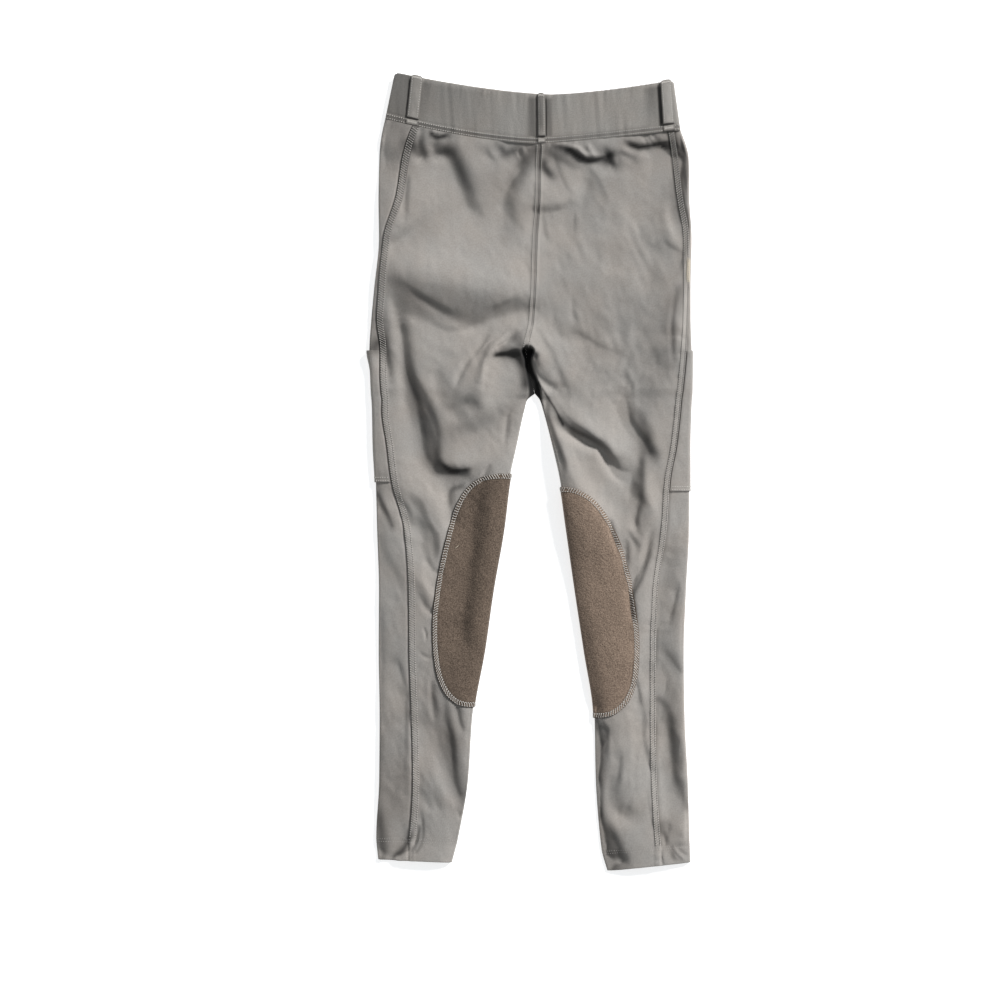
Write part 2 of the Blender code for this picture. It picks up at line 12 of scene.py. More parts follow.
import bmesh
import bpy
import numpy as np
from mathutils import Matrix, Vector


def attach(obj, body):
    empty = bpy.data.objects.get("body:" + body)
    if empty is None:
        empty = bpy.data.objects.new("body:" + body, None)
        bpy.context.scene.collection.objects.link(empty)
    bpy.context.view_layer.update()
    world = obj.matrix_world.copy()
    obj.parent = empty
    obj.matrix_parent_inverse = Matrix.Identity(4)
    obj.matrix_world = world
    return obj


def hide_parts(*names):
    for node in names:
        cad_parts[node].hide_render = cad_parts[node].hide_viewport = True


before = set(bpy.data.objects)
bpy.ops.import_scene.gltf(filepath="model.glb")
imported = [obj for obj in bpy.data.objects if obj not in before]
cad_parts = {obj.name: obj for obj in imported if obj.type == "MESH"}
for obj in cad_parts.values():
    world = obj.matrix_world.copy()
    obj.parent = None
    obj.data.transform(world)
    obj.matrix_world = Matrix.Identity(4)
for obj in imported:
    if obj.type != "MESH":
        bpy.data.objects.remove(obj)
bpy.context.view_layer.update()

MM = 0.001
print("solids in the part:", len(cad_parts))

# %% [markdown]
# ## The outline and the seams
# Breeches laid flat are two flattened tubes of cloth joined at the seat. One row of numbers for
# each height says where the outer edge, the side seam and the inner edge of each leg run.
# A smooth curve through the rows gives every edge between them. It never overshoots, so the
# outline has no waves of its own. A wearer's left leg is on the left here because the back shows.

# %% Sections across the garment
Section = namedtuple("Section", "y outer_left seam_left inner_left inner_right seam_right outer_right")
SECTIONS = [Section(*row) for row in (
    (360, -157.5, -127.0, 12.5, 12.5, 159.5, 167.0),
    (331, -164.0, -139.0, 11.0, 11.0, 165.0, 176.5),
    (298, -165.0, -147.0, 10.5, 10.5, 169.8, 177.0),
    (257, -164.5, -159.5, 7.5, 7.5, 176.0, 179.4),
    (199, -170.0, -165.0, 5.5, 5.5, 175.8, 178.3),
    (166, -173.0, -167.0, 3.5, 3.5, 175.0, 178.4),
    (133, -175.0, -163.5, -3.0, -3.0, 173.5, 179.4),
    (109, -173.0, -163.5, 1.0, 1.0, 171.5, 179.4),
    (85, -172.0, -162.0, 7.0, 7.0, 169.0, 179.0),
    (78, -171.3, -161.0, -1.5, 12.5, 168.0, 178.3),
    (67, -170.8, -161.2, -4.5, 16.0, 167.0, 177.8),
    (28, -170.0, -156.0, -13.0, 26.0, 162.5, 176.7),
    (-10, -168.0, -151.0, -21.0, 34.5, 155.5, 176.8),
    (-65, -166.5, -137.0, -28.0, 42.5, 151.5, 176.5),
    (-131, -164.5, -132.0, -39.5, 52.0, 142.3, 173.2),
    (-197, -164.8, -131.5, -49.0, 62.0, 140.0, 170.8),
    (-268, -163.8, -129.0, -61.5, 72.5, 139.8, 171.6),
    (-340, -164.3, -127.5, -66.5, 74.0, 141.0, 175.2),
    (-405, -167.5, -131.5, -77.5, 80.5, 145.5, 177.3),
    (-432, -165.5, -140.0, -84.0, 86.5, 148.0, 178.3),
)]
CROTCH_Y = 85.0                     # the row where the two inner edges part
SIDES = ("left", "right")


def smooth_step(value):
    value = np.clip(value, 0.0, 1.0)
    return value * value * (3.0 - 2.0 * value)


def bell(distance, width):
    """1 at no distance, falling softly to almost nothing at two widths."""
    return np.exp(-((distance / width) ** 2))


def joined(x, y, z):
    """Points in an array whose last axis is x, y, z."""
    return np.stack(np.broadcast_arrays(x, y, z), axis=-1)


def unit(vectors):
    return vectors / np.maximum(np.linalg.norm(vectors, axis=-1, keepdims=True), 1e-9)


def smooth_curve(places, values):
    """A curve through the points that never overshoots between them."""
    places = np.asarray(places, float)
    values = np.asarray(values, float)
    spans = np.diff(places)
    slopes = np.diff(values) / spans
    before, after = slopes[:-1], slopes[1:]
    same_way = before * after > 0.0
    total = np.where(same_way, before + after, 1.0)
    inner = np.where(same_way, 2.0 * before * after / total, 0.0)
    tangents = np.concatenate(([slopes[0]], inner, [slopes[-1]]))

    def value_at(place):
        index = np.clip(np.searchsorted(places, place, side="right") - 1, 0, len(spans) - 1)
        t = np.clip((place - places[index]) / spans[index], 0.0, 1.0)
        ease = smooth_step(t)
        straight = values[index] * (1.0 - ease) + values[index + 1] * ease
        pull = t * (1.0 - t) ** 2 * tangents[index] + t * t * (t - 1.0) * tangents[index + 1]
        return straight + spans[index] * pull

    return value_at


def section_curve(column, lowest=-math.inf, highest=math.inf):
    rows = sorted(row for row in SECTIONS if lowest <= row.y <= highest)
    return smooth_curve([row.y for row in rows], [getattr(row, column) for row in rows])


def inner_curve(column):
    """The centre seam down to the crotch, and the leg's inner edge below it."""
    seam = section_curve(column, lowest=CROTCH_Y)
    leg = section_curve(column, highest=CROTCH_Y)
    return lambda y: np.where(y >= CROTCH_Y, seam(y), leg(y))


EDGE = {
    column: inner_curve(column) if column.startswith("inner") else section_curve(column)
    for column in Section._fields[1:]
}
print("seat is", EDGE["outer_right"](257.0) - EDGE["outer_left"](257.0), "mm wide")

# %% [markdown]
# ## The curved waist and the slanted hems
# The waistband dips in the middle of the back and rises to both sides, and each hem slants.
# The rows of cloth near them follow: a row's height bends with the waist seam at the top and
# slants with the hem at the bottom, and both effects fade out towards the middle of the leg.

# %% Waist and hem lines
WAIST_Y = 359.0
WAIST_FADE = 60.0
HEM_Y = -405.0
HEM_FADE = 60.0
BAND_SPAN = (-157.5, 167.0)
BAND_TOP_SPAN = (-147.0, 159.5)
BAND_TOP_Y = 413.6
SEAM_GAP = 0.3

Rise = namedtuple("Rise", "centre left_end left_rise left_power right_end right_rise right_power")
WAIST_RISE = Rise(12.5, BAND_SPAN[0], 27.7, 1.6, BAND_SPAN[1], 15.5, 1.2)
TOP_RISE = Rise(23.6, BAND_TOP_SPAN[0], 25.3, 1.5, BAND_TOP_SPAN[1], 16.5, 1.5)

HemLine = namedtuple("HemLine", "seam_outer seam_inner edge_outer edge_inner")
HEM_LINES = {
    "left": HemLine(-402.5, -404.0, -426.0, -430.0),
    "right": HemLine(-409.0, -417.0, -429.5, -439.4),
}


def curved_rise(rise, x):
    """How far an edge of the waistband has risen at x."""
    left = np.maximum(rise.centre - x, 0.0) / (rise.centre - rise.left_end)
    right = np.maximum(x - rise.centre, 0.0) / (rise.right_end - rise.centre)
    return rise.left_rise * left ** rise.left_power + rise.right_rise * right ** rise.right_power


def waist_seam_y(x):
    return WAIST_Y + curved_rise(WAIST_RISE, x)


def band_top_y(x):
    return BAND_TOP_Y + curved_rise(TOP_RISE, x)


def hem_y(side, x, at_edge):
    """Height of the hem's seam, or of its lower edge, at x."""
    line = HEM_LINES[side]
    outer = EDGE["outer_" + side](HEM_Y)
    inner = EDGE["inner_" + side](HEM_Y)
    share = np.clip((x - outer) / (inner - outer), 0.0, 1.0)
    if at_edge:
        return line.edge_outer + (line.edge_inner - line.edge_outer) * share
    return line.seam_outer + (line.seam_inner - line.seam_outer) * share


def true_y(side, x, station):
    """Height of a point of a row that bends with the waist seam and slants with the hem."""
    bend = (waist_seam_y(x) - WAIST_Y) * smooth_step(1.0 - (WAIST_Y - station) / WAIST_FADE)
    slant = (hem_y(side, x, False) - HEM_Y) * smooth_step(1.0 - (station - HEM_Y) / HEM_FADE)
    return station + bend + slant


def side_seam_curve(side):
    """The side seam's x by true height, as its rows bend with the waist seam near the top."""
    station = np.arange(HEM_Y, WAIST_Y + 1.0, 2.0)
    seam_x = EDGE["seam_" + side](station)
    heights = true_y(side, seam_x, station)
    return lambda y: np.interp(y, heights, seam_x)


SIDE_SEAM = {"left": side_seam_curve("left"), "right": side_seam_curve("right")}
print("waist seam rises", waist_seam_y(BAND_SPAN[0]) - WAIST_Y, "mm to the left")

# %% [markdown]
# ## Creases
# The creases were first placed one by one. A fitting program then changed their widths, rises, fades
# and points, often by a centimetre, and did the same for the shade strokes below. So the numbers in
# both tables are that program's, and not a design worked out by hand.
#
# A crease is a short bent path with a soft cross-section. Real creases are lopsided: one wall is
# steep and the other runs out slowly, so each has its own width on the left and the right hand of
# someone walking along the path. A positive rise is a ridge and a negative one is a trough.
# Both ends fade. All of them are drawn once into a height map, which every sheet then reads.
# A line of the table holds one crease: its width on the left hand and on the right hand, its rise,
# the shares of its length over which it fades in and out, and then the points of its path.

# %% Crease table
Crease = namedtuple("Crease", "left_width right_width rise fade_in fade_out path")


def crease_table(text):
    """Creases from lines of numbers: the five sizes, then the path as x y, x y and so on."""
    lines = [line for line in text.splitlines() if line and not line.startswith("#")]
    rows = [[float(number) for number in line.split()] for line in lines]
    return [Crease(*row[:5], np.reshape(row[5:], (-1, 2))) for row in rows]


CREASES = crease_table("""
# Gathers under the left half of the waistband
5.7 5.8 -5.0 0.33 0.14 -120 372 -121 351 -116 344
2.5 3.2 2.3 0.1 0.23 -122.1 372.5 -124.9 356 -116.6 346.3
1.6 1.5 1.2 0.07 0.6 -98.3 370.6 -105.7 370.8 -106.4 356
1.3 4.6 -1.4 0.12 0.27 -103.5 366.6 -103.9 366.4 -79.2 366.7
3.0 17.2 -3.1 0.6 0.51 -48.2 350 -44.2 345 -36.1 335.1
4.0 11.0 -2.7 0.15 0.36 -35 354 -24 348 -4 355
3.5 1.5 -1.5 0.26 0.28 -8.6 354.2 -10.9 350.3 -7.9 344.8
2.3 10.0 1.6 0.12 0.6 -8.3 357.5 -2.4 347.9 5.8 349.9
# Long folds that run down from the waistband, left of the middle
7.1 6.8 -3.7 0.15 0.28 -105 359 -100 348 -82 349
11.9 43.5 -7.9 0.33 0.23 -97 354 -89 338 -85 330 -77 313 -69 290 -53 274
11.4 30.9 -8.8 0.2 0.31 4 359 -13 330 -18 323 -28 304 -27 281 -12 261
3.4 6.7 -2.6 0.3 0.39 -133 329 -136 302 -136 268
7.6 22.4 -5.4 0.3 0.6 -164 238 -127 262 -93 293
10.0 28.6 -3.7 0.11 0.6 -168 350 -155 340 -126 349
# The curved fold under the waistband, right of the middle
2.9 10.0 -3.1 0.6 0.2 37.6 345.6 44.5 346.9 50.1 344.5 63 339.8 72.6 339.1 73.8 343.2
2.0 3.8 2.1 0.08 0.08 24.6 360.1 51.9 354.2 60.7 347.6 85.9 344.1
6.0 27.9 -3.2 0.18 0.3 11 345 25 344 50 330 71 335
3.7 15.2 -3.9 0.33 0.3 84 349 87 344 94 329
3.3 5.3 -3.5 0.12 0.12 104 359 119 355 131 353 134 353 149 356
3.9 26.4 -3.7 0.6 0.18 139 354 152 348 170 339
# Gathers at the right end of the waistband
1.5 1.3 -1.4 0.44 0.34 125.2 371.8 128.4 362.6 130.6 359.5
1.5 1.3 -1.4 0.16 0.07 129.1 372.8 132.9 363.6 136.9 359.2
2.2 1.3 -1.4 0.16 0.12 133.7 372.3 138.5 364.6 143.2 361.1
1.5 3.2 1.6 0.26 0.09 35 352.5 53.3 354.3 64.2 342.2
3.3 1.8 1.8 0.34 0.18 66.6 358.4 65.5 354.2 75.8 340.8
# Soft waves of the right seat
5.6 12.3 -3.7 0.6 0.4 12 332 16 330 25 317
2.9 5.4 -2.3 0.08 0.51 97.4 341.6 100.6 347.7 114.1 342.8 99 343.1
2.9 12.7 -1.1 0.23 0.11 64.2 332 74.4 318.9 84.8 296.1
3.1 13.0 -1.2 0.11 0.4 26 348 38 315 49 302
7.3 10.2 -3.0 0.3 0.4 67 338 59 297 57 289
4.4 32.6 -4.6 0.18 0.51 5 283 32 285 50 293
3.5 10.9 -1.7 0.4 0.4 16 280 16 262 25 245
1.9 9.6 -1.0 0.39 0.52 47 282.8 49.4 272 49 246.2
9.8 80.0 -3.9 0.51 0.14 145 313 120 264 135 233
47.6 76.8 -4.5 0.31 0.24 73 292 52 252 76 219
3.2 20.0 -1.0 0.14 0.18 116 247 133 212 124 176
# The edge of the right hip, and the tilt of both side panels
21.3 43.7 -6.5 0.25 0.11 142 353 143 307 157 263
4.7 7.0 1.8 0.3 0.31 152 295 151 275 165 237
1.9 21.0 -2.0 0.51 0.26 151.2 248 153.9 245.7 166 237.5
2.6 3.7 2.2 0.06 0.18 173.2 376.1 173.6 331.5 180 284.2 175.6 241.6 163.4 208.2
7.3 30.3 7.6 0.6 0.18 174 341 176 271 171 199 158 123
19.8 57.3 2.0 0.45 0.21 -156 303 -161 243 -152 193
# Swells and folds across the seat
29.6 21.4 9.0 0.23 0.23 -156 225 -105 211 -45 199 -1 200
22.1 47.2 2.4 0.51 0.23 35 241 90 205 154 219
9.6 9.6 -4.6 0.6 0.1 -155 222 -149 196 -133 173 -82 165 -57 161 -29 170 22 182
4.1 5.8 -2.5 0.6 0.21 -161 207 -135 201 -126 195 -110 184 -95 176 -78 169
2.6 18.2 -2.8 0.18 0.51 -39.4 175.3 -24.5 181.8 -7.4 188.4
4.3 40.6 -3.8 0.51 0.23 -131 166 -106 157 -77 152 -39 164
7.5 48.2 -2.2 0.14 0.18 22 171 34 147 60 138
3.8 10.5 -1.2 0.09 0.3 49 153 68 141 83 133 116 120
2.2 2.8 -0.3 0.45 0.59 90.8 196.7 103.5 182 120.7 163.8
2.2 4.3 -0.8 0.6 0.41 47.6 208 48.1 178.3 53.3 161
# Streaks beside the right hip
3.1 2.6 -2.7 0.39 0.3 163.3 208.5 157 169.7 156.7 141.3 159.5 106.5
6.0 12.2 -2.7 0.6 0.24 134 145 138 123 140 111
3.1 7.5 -1.4 0.23 0.36 104 107 112 92 102 83
# The deep trough down the left thigh, and beside it
8.1 20.2 -8.0 0.12 0.14 -150 193 -142 155 -139 136 -134 101 -127 77 -120 46 -115 16 -101 -5 -83 -8 -56 -6
5.2 7.1 -3.9 0.2 0.08 -140 121 -127 97 -112 69 -103 45 -102 15 -96 1 -78 -2 -68 -2
5.1 9.6 3.7 0.23 0.6 -158 199 -148 141 -144 91 -137 36
3.8 12.7 -3.5 0.44 0.3 -162 174 -158 133 -157 125 -150 85
# Ridges that fan out to the left of the crotch
19.1 5.2 5.5 0.27 0.6 17 162 -8 150 -14 144 -21 131
1.4 1.5 -1.5 0.51 0.46 -20.2 162.5 -28.5 150.7 -44.4 139.4 -49.4 128.5
6.0 4.8 5.0 0.6 0.24 -14 163 -39 135 -46 123 -59 87
3.3 4.4 -2.5 0.18 0.18 -40 157 -58 131 -68 119 -85 83
4.0 2.3 -1.0 0.6 0.22 -44.8 126.4 -45.9 115.7 -49 82.9
# The left thigh below them
11.3 6.6 -1.7 0.14 0.08 -104 116 -97 82 -82 59 -56 71
7.6 11.6 -4.7 0.39 0.39 -89 63 -80 66 -65 73 -51 52
12.7 33.8 -7.7 0.4 0.39 -61 41 -52 42 -29 61
2.6 3.5 -1.2 0.55 0.36 -41.3 116.2 -50.9 111.7 -57.9 95.9
17.6 30.8 7.7 0.6 0.18 -34 112 -52 93 -54 64
7.2 37.4 0.8 0.51 0.23 -92 29 -69 7 -34 18
3.9 15.4 -2.7 0.39 0.31 -24 66 -26 51 -29 17
15.2 4.4 -3.4 0.3 0.41 -15 75 -22 56 -23 21
2.2 3.7 -2.3 0.18 0.6 -53.1 -15.8 -46.2 0.8 -39.5 10
# Both lips of the cleft
11.9 5.2 5.4 0.25 0.12 -45 131 -25 132 -1 132 -5 137 12 113
4.8 3.0 -3.2 0.6 0.2 -10 155 -22 143 -38 133
4.5 6.6 -3.5 0.19 0.18 0 123 10 103 35 85
6.9 21.7 -3.6 0.6 0.4 34 119 35 94 47 88
11.0 3.8 1.1 0.22 0.23 19 148 31 128 44 92
# Trough and ridge across the right thigh
6.1 6.1 -6.4 0.3 0.14 20 76 36 47 50 39 68 29 79 25 96 -1 113 -7
11.5 4.4 4.6 0.5 0.06 34 74 51 55 71 40 96 14
56.1 51.6 -5.8 0.14 0.19 49 141 84 110 131 82
14.3 53.7 9.0 0.15 0.14 29 35 42 0 59 -29 82 -61
# Behind the right knee and down the calf
6.9 17.0 -6.5 0.23 0.1 102 98 107 59 116 43 126 30 135 14
6.3 13.2 -3.2 0.51 0.23 125 31 119 6 114 -14 120 -23
9.3 41.7 -6.4 0.42 0.45 118 8 109 -20 124 -39
3.0 6.2 -3.1 0.46 0.2 126.5 -24.1 118.7 -44.1 118 -69.6
2.4 17.6 -2.4 0.6 0.2 110.5 -70.8 111.7 -73.2 118.2 -82.4
3.6 4.5 -3.8 0.12 0.07 137 -58 126 -100 117 -116 112 -132 111 -136 115 -171
9.8 22.9 5.4 0.6 0.39 127 -9 129 -29 139 -64
# Beside the right patch and along the right side panel
3.1 4.1 -3.2 0.25 0.19 87 -51 92 -68 98 -89
4.3 6.9 -4.5 0.3 0.6 106 -73 106 -98 103 -115
3.3 9.2 -2.4 0.23 0.51 116 -225 121 -251 125 -267
2.7 10.9 -2.8 0.3 0.3 164.5 -121.5 159 -146.6 152.1 -174
12.9 10.1 -6.1 0.27 0.12 155 -73 142 -132 137 -181
12.3 27.3 -4.4 0.11 0.07 130 -181 145 -204 161 -220
10.2 5.8 1.9 0.3 0.6 174 -127 167 -164 163 -186
4.6 12.7 4.5 0.6 0.13 197 -34 167 -159 169 -251 171 -360 169 -422
# Behind the left knee and down the calf
4.5 12.7 -1.9 0.25 0.2 -144 -21 -123 -40 -113 -59 -106 -71 -104 -86 -104 -96
7.3 10.4 -3.1 0.3 0.39 -149 -45 -121 -66 -118 -88 -113 -114
3.3 12.1 -2.2 0.14 0.6 -149 -23 -133 -46 -129 -61
4.9 19.4 -2.5 0.12 0.6 -171 2 -164 -40 -152 -54
5.6 10.8 2.6 0.6 0.18 -116 -89 -118 -119 -102 -146
8.4 9.2 -4.0 0.42 0.18 -90 -10 -88 -34 -81 -65
# Small wrinkles beside the left patch
3.5 3.9 -1.5 0.39 0.06 -120 -130 -113 -150 -101 -158
1.3 1.3 -0.1 0.18 0.6 -127.4 -145.3 -118.4 -159.8 -111.3 -168.3
1.3 1.3 -1.4 0.18 0.11 -116 -170.9 -112.7 -179.6 -113.2 -184.8
3.2 5.0 -1.5 0.14 0.05 -114 -96 -105 -109 -95 -112
3.3 2.8 -0.3 0.18 0.14 -150 -99.2 -142.1 -124.9 -134.7 -148.6
1.8 1.3 -1.4 0.51 0.08 -123 -197.7 -115.6 -203.3 -107.7 -206.2
# The left side panel
6.4 36.4 -2.6 0.11 0.39 -170 -72 -157 -104 -144 -126
2.0 18.2 -2.1 0.42 0.23 -147.4 -205.2 -142 -218.8 -136.5 -239.3
6.3 20.2 -3.6 0.12 0.05 -169 -152 -166 -199 -169 -266
# The left ankle
4.5 2.7 -2.8 0.33 0.33 -106.9 -227.9 -106.6 -248.7 -102.4 -280.4
5.3 9.1 -4.6 0.46 0.05 -89 -246 -94 -259 -87 -297 -85 -317 -83 -342 -75 -363
3.7 4.8 -3.2 0.33 0.15 -80 -250 -77 -273 -72 -288
7.8 24.6 -3.2 0.6 0.11 -117 -270 -104 -289 -96 -318
3.6 13.8 -2.0 0.08 0.3 -135 -237 -137 -302 -138 -349
9.3 8.6 -2.0 0.25 0.18 -124 -303 -115 -328 -119 -336 -120 -350 -111 -362 -94 -376
16.2 37.6 6.9 0.6 0.23 -106 -311 -113 -328 -88 -361
2.5 1.9 -1.8 0.6 0.2 -78.5 -373.6 -76.2 -377.3 -76.3 -381.6
# The left hem
7.8 5.2 -3.5 0.11 0.05 -172 -370 -174 -402 -167 -425
2.4 4.7 -1.1 0.19 0.07 -118.8 -364.2 -117.5 -396.1 -123.4 -404.1 -129.5 -424.4
7.0 11.2 -4.4 0.46 0.07 -129 -387 -141 -411 -153 -430
2.7 2.7 -2.8 0.14 0.12 -120.3 -388.6 -128 -415.1 -146 -428
# The right ankle
6.6 25.4 -3.8 0.05 0.12 74 -260 74 -277 78 -317 73 -339 73 -386
2.1 7.8 -1.9 0.33 0.23 76.6 -274 85.7 -288.3 83.5 -318.5
3.6 11.3 -2.7 0.6 0.3 100 -307 99 -324 95 -349
4.6 16.5 -2.5 0.2 0.12 124 -260 125 -299 134 -333
13.6 25.8 -5.9 0.11 0.07 132 -218 142 -242 142 -273 150 -282 156 -321 157 -342 172 -360
6.7 6.7 2.2 0.6 0.23 146 -245 164 -285 171 -329
11.2 11.4 -5.0 0.25 0.3 87 -330 95 -373 122 -380
# The right hem
12.3 20.0 -4.4 0.19 0.05 67 -376 76 -407 80 -427 99 -434
5.1 7.1 -2.9 0.39 0.05 81 -384 96 -411 105 -435
2.7 3.8 -1.3 0.18 0.1 85.5 -410.3 82.9 -417 83.9 -437
2.7 13.4 -0.9 0.13 0.14 128.6 -351.9 134.8 -386.9 147.4 -407.1
3.0 2.3 -2.4 0.25 0.6 146.3 -394.9 150 -407.8 146.5 -415.5
1.3 6.3 -1.2 0.6 0.15 155.9 -407.7 160.1 -421.3 169.4 -435.8
1.3 1.3 -1.0 0.46 0.15 146.1 -425.7 145.8 -429.8 148.7 -441.2
2.5 3.4 -0.8 0.6 0.18 184.3 -409.9 164.4 -414.5 175.2 -429.8
1.8 8.8 -1.9 0.6 0.39 152.5 -384.1 153.6 -394 149.8 -401.9
# The inner edges of both legs
3.6 3.6 -2.0 0.07 0.39 20 82 20 54 34 13 38 -7
11.8 25.3 -7.5 0.25 0.15 -47 -2 -59 -37 -63 -78 -67 -120 -73 -161 -73 -186
5.7 62.3 -2.3 0.18 0.31 -76 -188 -72 -191 -66 -200
14.0 16.7 1.8 0.3 0.3 118 -192 112 -242
""")
print("creases:", len(CREASES))

# %% [markdown]
# ## Painted shade in the deep folds
# Little light reaches the bottom of a deep fold, so its shade is painted into the cloth's colour. The
# same kind of stroke gives this painted shade. Here the rise says how dark it is: 0 adds none and 1 is
# black.

# %% Shade table
SHADES = crease_table("""
# The trough down the left thigh
5.4 11.1 0.59 0.26 0.23 -143 152 -131 113 -121 76 -109 52 -103 24 -101 11 -77 -4 -69 0
1.6 3.7 0.72 0.57 0.08 -100.5 18.5 -88.6 3.3 -75 0.9 -63 2.6
# Gathers and folds under the waistband
2.0 3.2 0.85 0.16 0.26 -108.2 372.8 -100.4 366.3 -83.9 371
5.8 10.6 0.64 0.12 0.45 -133 361 -119 354 -107 349
7.5 5.8 0.64 0.09 0.51 -104 347 -89 351 -79 340 -71 319 -64 301 -67 289
12.0 5.1 0.5 0.17 0.14 5 355 -2 346 -8 336 -25 308
3.7 5.8 0.62 0.57 0.57 -29 358 -25 348 -4 358
4.2 2.9 0.85 0.26 0.16 19.7 358.5 42.5 353.1 52.7 346.5 62.4 341.6 72.5 341.2 86.7 346.2
8.9 4.7 0.85 0.09 0.51 91 349 86 341 111 333
3.4 4.5 0.85 0.2 0.06 100 363 119 357 122 356 137 358 163 359
3.9 6.1 0.31 0.07 0.19 137 363 165 355 165 341 173 313
6.0 4.2 0.64 0.26 0.3 17 345 17 332 34 318
18.4 5.9 0.39 0.23 0.6 23 356 30 344 49 342 89 343
# The seat, the right hip and the mouth of the left pocket
5.5 10.6 0.39 0.26 0.45 -152 220 -139 206 -121 191 -99 185 -84 173
11.9 12.4 0.14 0.14 0.18 -145 201 -107 169 -67 176 -24 186
3.1 9.6 0.54 0.08 0.4 161 374 174 336 171 291 191 254
6.8 7.0 0.34 0.06 0.11 168 203 155 176 155 137 156 104
8.5 7.8 0.61 0.1 0.51 -170 133 -166 140 -151 145
3.6 6.6 0.34 0.09 0.51 -164 177 -157 137 -148 126 -137 101
# The crotch
8.5 5.3 0.51 0.11 0.1 -13 150 -12 133 -31 133
2.9 1.9 0.85 0.11 0.09 -37.6 126.1 -27.7 127.6 -5 127.4
2.1 8.4 0.78 0.3 0.19 -13.1 132.2 -8.2 126.7 2.2 129.9 9.4 128.6
8.0 7.1 0.85 0.2 0.12 -7 123 -3 104 -3 91
4.3 2.0 0.49 0.15 0.51 7.2 130.3 10.4 118.2 22.7 100.5
3.5 4.0 0.23 0.26 0.23 16 112 25 99 40 93
# The right thigh and knee
1.2 1.4 0.85 0.11 0.05 10.1 99.7 13.8 92.4 21.5 80.3 30.3 66 39.1 47.3
3.6 3.1 0.71 0.05 0.6 31 61 48 46 66 37 83 26 93 13 106 5
2.2 3.3 0.49 0.2 0.37 15 71.9 24.8 51 34 25.9 40.3 7.4 37.5 -17.5
6.0 9.6 0.58 0.39 0.17 105 66 121 62 131 42 131 27 142 14
4.1 4.6 0.63 0.12 0.6 125 25 125 2 124 -18 124 -28 127 -35 123 -39 117 -61
2.7 2.1 0.51 0.2 0.26 137.4 -75.7 130.8 -98.8 122.7 -120.9 114.8 -136.9 116.5 -154.4 118.9 -173.7
# The left calf, ankle and hem
2.2 8.0 0.38 0.19 0.26 -133.6 -20 -117.2 -34.9 -109.9 -53.5 -100.3 -69.9 -99.6 -89 -102.3 -95.5
2.8 3.4 0.65 0.2 0.18 -170.9 -15.3 -156.8 -43.5 -146.5 -67.5
4.1 2.5 0.5 0.12 0.18 -71.4 -16 -85.2 -21.8 -85.5 -41.9
13.3 17.0 0.54 0.42 0.08 -76 -246 -87 -271 -85 -292 -84 -307 -77 -339 -67 -365
4.5 7.6 0.35 0.42 0.42 -114 -232 -104 -253 -96 -281
7.2 5.8 0.62 0.4 0.11 -171 -354 -162 -395 -158 -433
3.2 3.6 0.67 0.25 0.05 -125 -394 -137 -415 -149 -424
2.1 1.2 0.35 0.15 0.13 -115.9 -377.2 -115.1 -398.3 -119.4 -412.7 -125.5 -421
# The right ankle and hem
5.2 5.2 0.66 0.2 0.13 73 -271 78 -300 78 -361 77 -386
1.8 5.5 0.38 0.2 0.18 81.8 -276.8 87.5 -286.3 78.9 -307.4
4.5 4.7 0.47 0.06 0.05 139 -248 151 -257 157 -270 158 -287 161 -330 169 -354 176 -376
11.8 13.3 0.72 0.25 0.05 75 -382 87 -404 93 -418 94 -435
4.9 4.6 0.42 0.12 0.46 146 -387 147 -395 150 -417
1.7 3.8 0.61 0.51 0.56 156.6 -408.8 160 -423.7 170.2 -431.4
# Beside both patches
7.0 7.0 0.22 0.07 0.05 36 -27 49 -112 68 -202 79 -266
2.2 2.9 0.1 0.05 0.05 -47 2.7 -44.5 -58.3 -65.4 -107.5 -66.5 -151.5 -64.7 -200.3
# Broad faint shades, from the thigh to the hem
16.1 31.9 0.22 0.11 0.23 -107 65 -94 53 -81 36
22.7 16.0 0.2 0.51 0.23 -171 178 -157 157 -151 139
17.6 18.1 0.24 0.18 0.3 -141 383 -132 365 -156 334
21.2 21.2 0.18 0.18 0.6 -50 332 -43 310 -36 300
11.1 13.6 0.15 0.6 0.23 -10 269 -23 259 -26 257
6.2 15.9 0.22 0.39 0.18 151 375 155 363 147 344
15.3 10.1 0.22 0.23 0.39 99 346 111 342 115 340
13.9 10.0 0.22 0.23 0.11 123 118 132 97 127 68
62.4 46.8 0.11 0.14 0.3 -110 -192 -106 -252 -111 -333
2.4 6.7 0.22 0.51 0.11 -67.3 -352.5 -74.9 -375.1 -78.8 -412.5
2.7 3.8 0.21 0.14 0.11 78.3 -296.8 75.4 -342.4 84 -396.8
7.3 3.7 0.22 0.11 0.11 -160 0 -144 -25 -136 -50
3.5 1.2 0.34 0.6 0.11 148.4 -197.4 155.4 -204.3 169.1 -223.9
17.3 22.6 0.18 0.51 0.14 -161 -260 -144 -317 -145 -382
3.2 5.0 0.85 0.26 0.1 -19 130 -13 130 -8 130
3.8 2.2 0.22 0.18 0.2 -159.5 -277.7 -163.4 -323.9 -161.9 -370.1
""")
print("shaded folds:", len(SHADES))

# %% [markdown]
# ## The height map
# Each crease's path is smoothed into a fine line. Every cell of the map near the line takes the
# crease's height, by its distance to each piece of the line and by how far along that piece lies.
# The highest of these counts, so a crease has round soft ends and no jump inside a bend. Only the
# cells in the crease's own box are worked out, which keeps this quick.

# %% Draw the creases
CELL = 0.75                         # size of a cell of the height map
MAP_LOW = np.array([-195.0, -450.0])
MAP_SIZE = (520, 1200)
STEPS_PER_SPAN = 6
REACH = 2.8                         # widths after which a crease is too faint to matter


